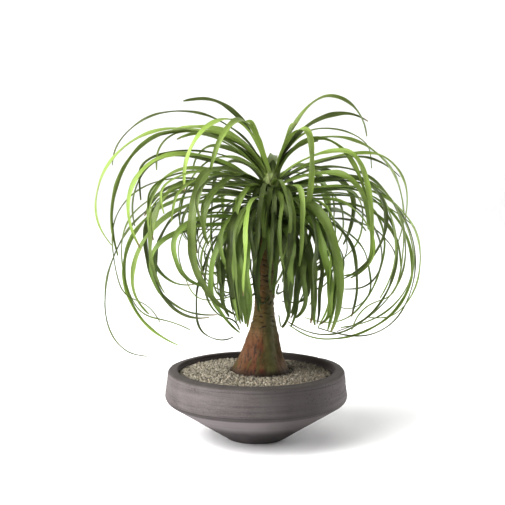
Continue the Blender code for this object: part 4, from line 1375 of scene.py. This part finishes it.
def leaf_slopes(places):
    """The slope at each place: level at the crest, straight down at its reach, level again below."""
    slopes = [0.0, -90.0, -180.0, -270.0][: len(places) - 2]
    rise = places[1] - places[0]
    launch = min(2 * math.degrees(math.atan2(rise[1], rise[0])) - slopes[0], STEEPEST_LAUNCH)
    fall = places[-1] - places[-2]
    chord = math.degrees(math.atan2(fall[1], fall[0]))
    while chord > slopes[-1] + MOST_UPTURN:
        chord -= 360
    finish = slopes[-1] + (chord - slopes[-1]) * (1 + TIP_EASE)
    return [launch, *slopes, finish]


def leaf_profile(root, places, count=64):
    """A leaf's line in its own upright plane, as (reach, height), smoothed to an even bend."""
    places = [np.array([ROOT_DEPTH, root]), *(np.array(place, float) for place in places)]
    slopes = leaf_slopes(places)
    pieces = [
        span(places[i], slopes[i], places[i + 1], slopes[i + 1])[(1 if i else 0):]
        for i in range(len(places) - 1)
    ]
    line = np.concatenate(pieces)
    for _ in range(3):
        line = even_steps(line, count)
        line[1:-1] = (line[:-2] + 2 * line[1:-1] + line[2:]) / 4
    return line


def leaf_drift(number, azimuth):
    """How many degrees a leaf swings aside by its tip: more at the sides than at the front."""
    least, most = DRIFTS
    swing = least + (most - least) * math.cos(math.radians(azimuth)) ** 2
    return swing * (2 * (number * math.sqrt(3) % 1) - 1)


def leaf_sway(number):
    """How many degrees a leaf bows aside on its way, to one side and then to the other."""
    return SWAY * (2 * (number * math.sqrt(7) % 1) - 1)


def leaf_line(number, azimuth, root, places, steps):
    """A leaf's centre line in space, kept clear of the stem below the crown."""
    profile = even_steps(leaf_profile(root, places), steps + 1)
    share = np.linspace(0, 1, steps + 1)
    swung = azimuth + leaf_drift(number, azimuth) * share**2
    angle = np.radians(swung + leaf_sway(number) * np.sin(2 * np.pi * share))
    lean = (stem_x(root) - CROWN_X) * np.clip(1 - share / LEAN_SHARE, 0, 1) ** 2
    x = CROWN_X + profile[:, 0] * np.cos(angle) + lean
    y = STEM_Y + profile[:, 0] * np.sin(angle)
    z = profile[:, 1]
    away = np.hypot(x - stem_x(z), y - STEM_Y)
    clear = stem_radius(z) + STEM_CLEARANCE + CORE_MARGIN
    least = np.where(z < CORE_RADII[0][0] + CORE_MARGIN, clear, 0)
    push = np.maximum(least / np.maximum(away, 1e-3), 1)
    line = np.stack([stem_x(z) + (x - stem_x(z)) * push, STEM_Y + (y - STEM_Y) * push, z], axis=-1)
    return softened(line, 4)


def leaf_roll(number, azimuth):
    """How far a leaf is rolled about its length, mostly to turn its upper face to the front."""
    least, most = ROLLS
    size = least + (most - least) * (number * GOLDEN_TURN % 1)
    facing = 1 if number * math.sqrt(2) % 1 < FACING_SHARE else -1
    return math.radians(size) * facing * math.copysign(1, math.cos(math.radians(azimuth)))


def leaf_widths(share, width, length):
    """Wide at the root, narrower just past it, full by a quarter, then a taper to the tip's width."""
    power = np.interp(length, [SHORT_LEAF, LONG_LEAF], [SHORT_TAPER, LONG_TAPER])
    grow = np.interp(share, *BASE_WIDTHS)
    taper = (1 - share**power) ** 0.8
    return (width - TIP_WIDTH) * grow * taper + TIP_WIDTH


def waver(travel, wave, phase):
    """A sine along a leaf, by the length travelled, the length of a wave and a phase in turns."""
    return np.sin(2 * np.pi * (travel / wave + phase))


def strap(number, leaf, look):
    """A leaf as rings along its line. Each ring runs across the upper face and back under the keel: a
    shallow channel whose middle sinks by the keel's depth, thick at the middle and thin at the edges."""
    azimuth, root, width, *places = leaf
    line = leaf_line(number, azimuth, root, places, look.steps)
    share = np.linspace(0, 1, len(line))
    length = np.linalg.norm(np.diff(line, axis=0), axis=1).sum()
    travel = share * length
    ahead = unit(np.gradient(line, axis=0))
    angle = math.radians(azimuth)
    side = np.array([-math.sin(angle), math.cos(angle), 0])
    side = unit(side - (ahead @ side)[:, None] * ahead)
    up = np.cross(ahead, side)
    phase = number * GOLDEN_TURN
    wander = (OLD_WANDER if root < OLD_ROOT else YOUNG_WANDER) * smooth_step(share, *WANDER_FROM)
    line = line + (wander * waver(travel, WANDER_LENGTH, 1.7 * phase))[:, None] * side
    wobble = WOBBLE * waver(travel, WOBBLE_LENGTH, phase)
    turn = (leaf_roll(number, azimuth) * (ROOT_ROLL + (TIP_ROLL - ROOT_ROLL) * share) + wobble)[:, None]
    across = np.cos(turn) * side + np.sin(turn) * up
    under = np.sin(turn) * side - np.cos(turn) * up
    wide = leaf_widths(share, width, length)[:, None]
    keel = KEEL_SHARE * wide + KEEL_LEAST
    out = np.array([*HALF_RING, *HALF_RING[::-1]])
    face = np.repeat([-1.0, 1.0], len(HALF_RING))
    thick = np.minimum(look.thickness / 2, THICKEST_SHARE * wide) * (1 - EDGE_THINNING * np.abs(out) ** 2)
    sink = CHANNEL_SHARE * keel * (1 - np.abs(out) ** CHANNEL_POWER) + face * thick
    wave = 1 + EDGE_WAVE * waver(travel, EDGE_LENGTH, 0.3 * number)[:, None]
    reach = (out * wide * wave / 2)[..., None]
    points = line[:, None] + across[:, None] * reach + under[:, None] * sink[..., None]
    return points, np.broadcast_to(out, sink.shape), np.broadcast_to(share[:, None], sink.shape)


def strap_faces(count, rows, columns):
    """Faces of many straps: the sides of each ringed grid, and its two ends as flat caps."""
    offsets = (np.arange(count) * rows * columns)[:, None, None]
    sides = (loop_faces(rows, columns)[None] + offsets).reshape(-1, 4)
    ring = np.arange(columns)
    ends = np.stack([ring[::-1], (rows - 1) * columns + ring])
    return sides, (ends[None] + offsets).reshape(-1, columns)


def make_leaves(name, leaves, look, painted_light):
    """One piece of many straps. leaves holds each leaf's number, for its roll and tone, and its form."""
    points, across, along = (np.stack(part) for part in zip(*(strap(*leaf, look) for leaf in leaves)))
    numbers = np.array([number for number, _ in leaves])
    roots = np.array([leaf[1] for _, leaf in leaves], float)
    values = {
        "across": across,
        "along": along,
        "tone": spread_over(numbers * TONE_TURN % 1, points),
        "dryness": spread_over(numbers * DRYNESS_TURN % 1, points),
        "age": spread_over(np.clip((NEWEST_ROOT - roots) / AGE_SPAN, 0, 1), points),
    }
    finish = leaf_finish(look, name, painted_light)
    return new_piece(name, points, *strap_faces(*points.shape[:3]), material=finish, values=values, sharp=50)


def spread_over(numbers, points):
    """One number for each leaf, repeated for all of its points."""
    return np.broadcast_to(numbers[:, None, None], points.shape[:3])


def fill_leaf(number, count, azimuth, random):
    """A leaf by rule: the share of the way from old to young sets how it rises, hangs and curls."""
    share = (number + 0.5) / count
    size = 1 + FILL_SPREAD * random.uniform(-1, 1, 6)
    lift = FILL_LIFT * random.uniform(-1, 1)

    def between(values):
        return float(np.interp(share, OLD_TO_YOUNG, values))

    root = between(FILL_ROOT) + lift
    crest = (between(FILL_CREST_REACH) * size[0], root + between(FILL_CREST_RISE) * size[1])
    hang = (crest[0] + between(FILL_HANG_REACH) * size[2], crest[1] - between(FILL_HANG_DROP) * size[3])
    tip = (hang[0] - between(FILL_TIP_IN) * size[4], hang[1] - between(FILL_TIP_DROP) * size[5])
    return (azimuth, root, FILL_WIDTH + 2 * random.uniform(-1, 1), crest, hang, tip)


def inner_curls(look):
    """Short thin leaves all round by rule: out a little, down, and back up round a small curl."""
    random = np.random.default_rng(CURL_SEED)
    leaves = []
    for number in range(look.curls):
        azimuth = 360 * ((number * GOLDEN_TURN + CURL_START) % 1)
        root = random.uniform(*CURL_ROOTS)
        place = (0.0, root)
        places = []
        for steps in CURL_STEPS:
            place = tuple(at + sign * random.uniform(*limits) for at, (sign, *limits) in zip(place, steps))
            places.append(place)
        leaves.append((azimuth, root, random.uniform(*CURL_WIDTHS), *places))
    return list(enumerate(leaves, start=FIRST_CURL))


def fill_leaves():
    """Leaves by rule, spread over each fan by golden turns: at the back, and then all round."""
    random = np.random.default_rng(FILL_SEED)
    leaves = []
    for count, first, last, start in FILL_FANS:
        for number in range(count):
            azimuth = first + (last - first) * ((number * GOLDEN_TURN + start) % 1)
            leaves.append(fill_leaf(number, count, azimuth, random))
    return leaves


def numbered_leaves():
    """Every leaf with its number, in the order that the solids have."""
    placed = [*LEFT_LEAVES, *HIGH_LEAVES, *RIGHT_LEAVES, *FRONT_LEAVES, *CURLED_LEAVES, *BUNDLED_LEAVES]
    return list(enumerate([*placed, *fill_leaves()]))


# Stage

def make_floor(look):
    """A round floor that sweeps up on all sides: a radius, a quarter circle and a wall, turned about Z."""
    flat = np.column_stack([np.linspace(FLOOR_START, FLOOR_REACH, FLOOR_ROWS), np.zeros(FLOOR_ROWS)])
    bend = np.radians(np.linspace(0, 90, SWEEP_ROWS))[1:]
    curve = np.column_stack([FLOOR_REACH + SWEEP * np.sin(bend), SWEEP * (1 - np.cos(bend))])
    wall_heights = np.linspace(SWEEP + WALL_START, WALL_TOP, WALL_ROWS)
    wall = np.column_stack([np.full(WALL_ROWS, FLOOR_REACH + SWEEP), wall_heights])
    section = np.concatenate([flat, curve, wall])
    points = rings(section[:, :1], section[:, 1:], whole_turn(FLOOR_COLUMNS)).reshape(-1, 3)
    middle = fans(len(section), FLOOR_COLUMNS, len(points), 0)[:FLOOR_COLUMNS]
    floor = new_piece(
        "floor", np.concatenate([points, [[0, 0, 0]]]), loop_faces(len(section), FLOOR_COLUMNS)[:, ::-1],
        middle[:, ::-1], material=floor_finish(look),
    )


def add_lamp(name, size, power, place, target):
    """A soft lamp at a place in metres, turned to its target, and not seen itself."""
    lamp = bpy.data.lights.new(name, "AREA")
    lamp.shape = "RECTANGLE"
    lamp.size, lamp.size_y = size
    lamp.energy = power
    thing = bpy.data.objects.new(name, lamp)
    thing.location = place
    away = np.array(target, float) - np.array(place, float)
    flat = math.hypot(away[0], away[1])
    thing.rotation_euler = (math.atan2(flat, -away[2]), 0, math.atan2(-away[0], away[1]))
    thing.visible_camera = False
    bpy.context.scene.collection.objects.link(thing)


def add_world():
    world = bpy.data.worlds.new("studio")
    world.use_nodes = True
    back = world.node_tree.nodes["Background"]
    back.inputs["Color"].default_value = (1, 1, 1, 1)
    back.inputs["Strength"].default_value = WORLD_STRENGTH
    bpy.context.scene.world = world


def add_camera(look):
    camera = bpy.data.objects.new("camera", bpy.data.cameras.new("camera"))
    camera.location = (look.side, -look.distance, look.height)
    camera.rotation_euler = (math.pi / 2 - look.tilt, 0, 0)
    camera.data.lens = look.lens
    camera.data.sensor_width = 36
    camera.data.clip_end = 30
    bpy.context.scene.collection.objects.link(camera)
    bpy.context.scene.camera = camera


# Operators

class PALM_OT_bowl(bpy.types.Operator):
    """Make the concrete bowl"""

    bl_idname = "palm.bowl"
    bl_label = "Bowl"

    def execute(self, context):
        bowl = make_bowl(settings().bowl)
        settle(bowl, "concrete", "pot")
        return {"FINISHED"}


class PALM_OT_gravel(bpy.types.Operator):
    """Make the grit and pebbles, and finish the soil below them"""

    bl_idname = "palm.gravel"
    bl_label = "Gravel and soil"

    def execute(self, context):
        look = settings().gravel
        settle(make_bed(look), "gravel", "gravel")
        settle(make_pebbles(look), "gravel", "gravel")
        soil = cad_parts["soil"]
        soil.data.materials.clear()
        soil.data.materials.append(soil_finish(look))
        return {"FINISHED"}


class PALM_OT_stem(bpy.types.Operator):
    """Make the corky stem"""

    bl_idname = "palm.stem"
    bl_label = "Stem"

    def execute(self, context):
        settle(make_stem(settings().stem), "bark", "trunk")
        return {"FINISHED"}


class PALM_OT_leaves(bpy.types.Operator):
    """Make the core of leaf bases and the leaves, oldest to youngest"""

    bl_idname = "palm.leaves"
    bl_label = "Leaves"

    def execute(self, context):
        look = settings().leaves
        settle(make_core(look), "leaf", "leaf_crown")
        leaves = numbered_leaves()
        for name, low, high, painted_light in TIERS:
            chosen = [(number, leaf) for number, leaf in leaves if low <= leaf[1] < high]
            if not chosen:
                raise RuntimeError(f"no leaf is rooted between {low} and {high} mm")
            settle(make_leaves(name, chosen, look, painted_light), "leaf", "leaf_crown")
        thin = [*inner_curls(look), *enumerate(THIN_LEAVES, start=FIRST_THIN)]
        curls = make_leaves("curled_leaves", thin, look, CURLED_PAINTED_LIGHT)
        settle(curls, "leaf", "leaf_crown")
        return {"FINISHED"}


class PALM_OT_stage(bpy.types.Operator):
    """Make the floor, the lamps and the camera"""

    bl_idname = "palm.stage"
    bl_label = "Stage"

    def execute(self, context):
        look = settings().stage
        make_floor(look)
        for lamp in LAMPS:
            add_lamp(*lamp)
        add_world()
        add_camera(look)
        context.scene.view_settings.view_transform = "Standard"
        context.scene.view_settings.gamma = look.contrast
        return {"FINISHED"}


class PALM_PT_panel(bpy.types.Panel):
    """The steps, in order, and every setting"""

    bl_label = "Ponytail palm"
    bl_space_type = "VIEW_3D"
    bl_region_type = "UI"
    bl_category = "Ponytail palm"

    def draw(self, context):
        for step in STEPS:
            self.layout.operator(step.bl_idname)
        palm = context.scene.ponytail_palm
        for group in ("bowl", "gravel", "stem", "leaves", "stage"):
            box = self.layout.box()
            box.label(text=group.capitalize())
            part = getattr(palm, group)
            for name in part.__annotations__:
                box.prop(part, name)


STEPS = (PALM_OT_bowl, PALM_OT_gravel, PALM_OT_stem, PALM_OT_leaves, PALM_OT_stage)
CLASSES = (*SETTINGS, PalmSettings, *STEPS, PALM_PT_panel)


def settle(piece, slot, *nodes):
    """Puts a piece on the frame in place of the nodes that it shows finer."""
    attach(piece, "root")
    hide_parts(*nodes)


def register():
    for kind in CLASSES:
        bpy.utils.register_class(kind)
    bpy.types.Scene.ponytail_palm = PointerProperty(type=PalmSettings)


def unregister():
    del bpy.types.Scene.ponytail_palm
    for kind in reversed(CLASSES):
        bpy.utils.unregister_class(kind)


def main():
    register()
    bpy.ops.palm.bowl()
    bpy.ops.palm.gravel()
    bpy.ops.palm.stem()
    bpy.ops.palm.leaves()
    bpy.ops.palm.stage()


if __name__ == "__main__":
    main()
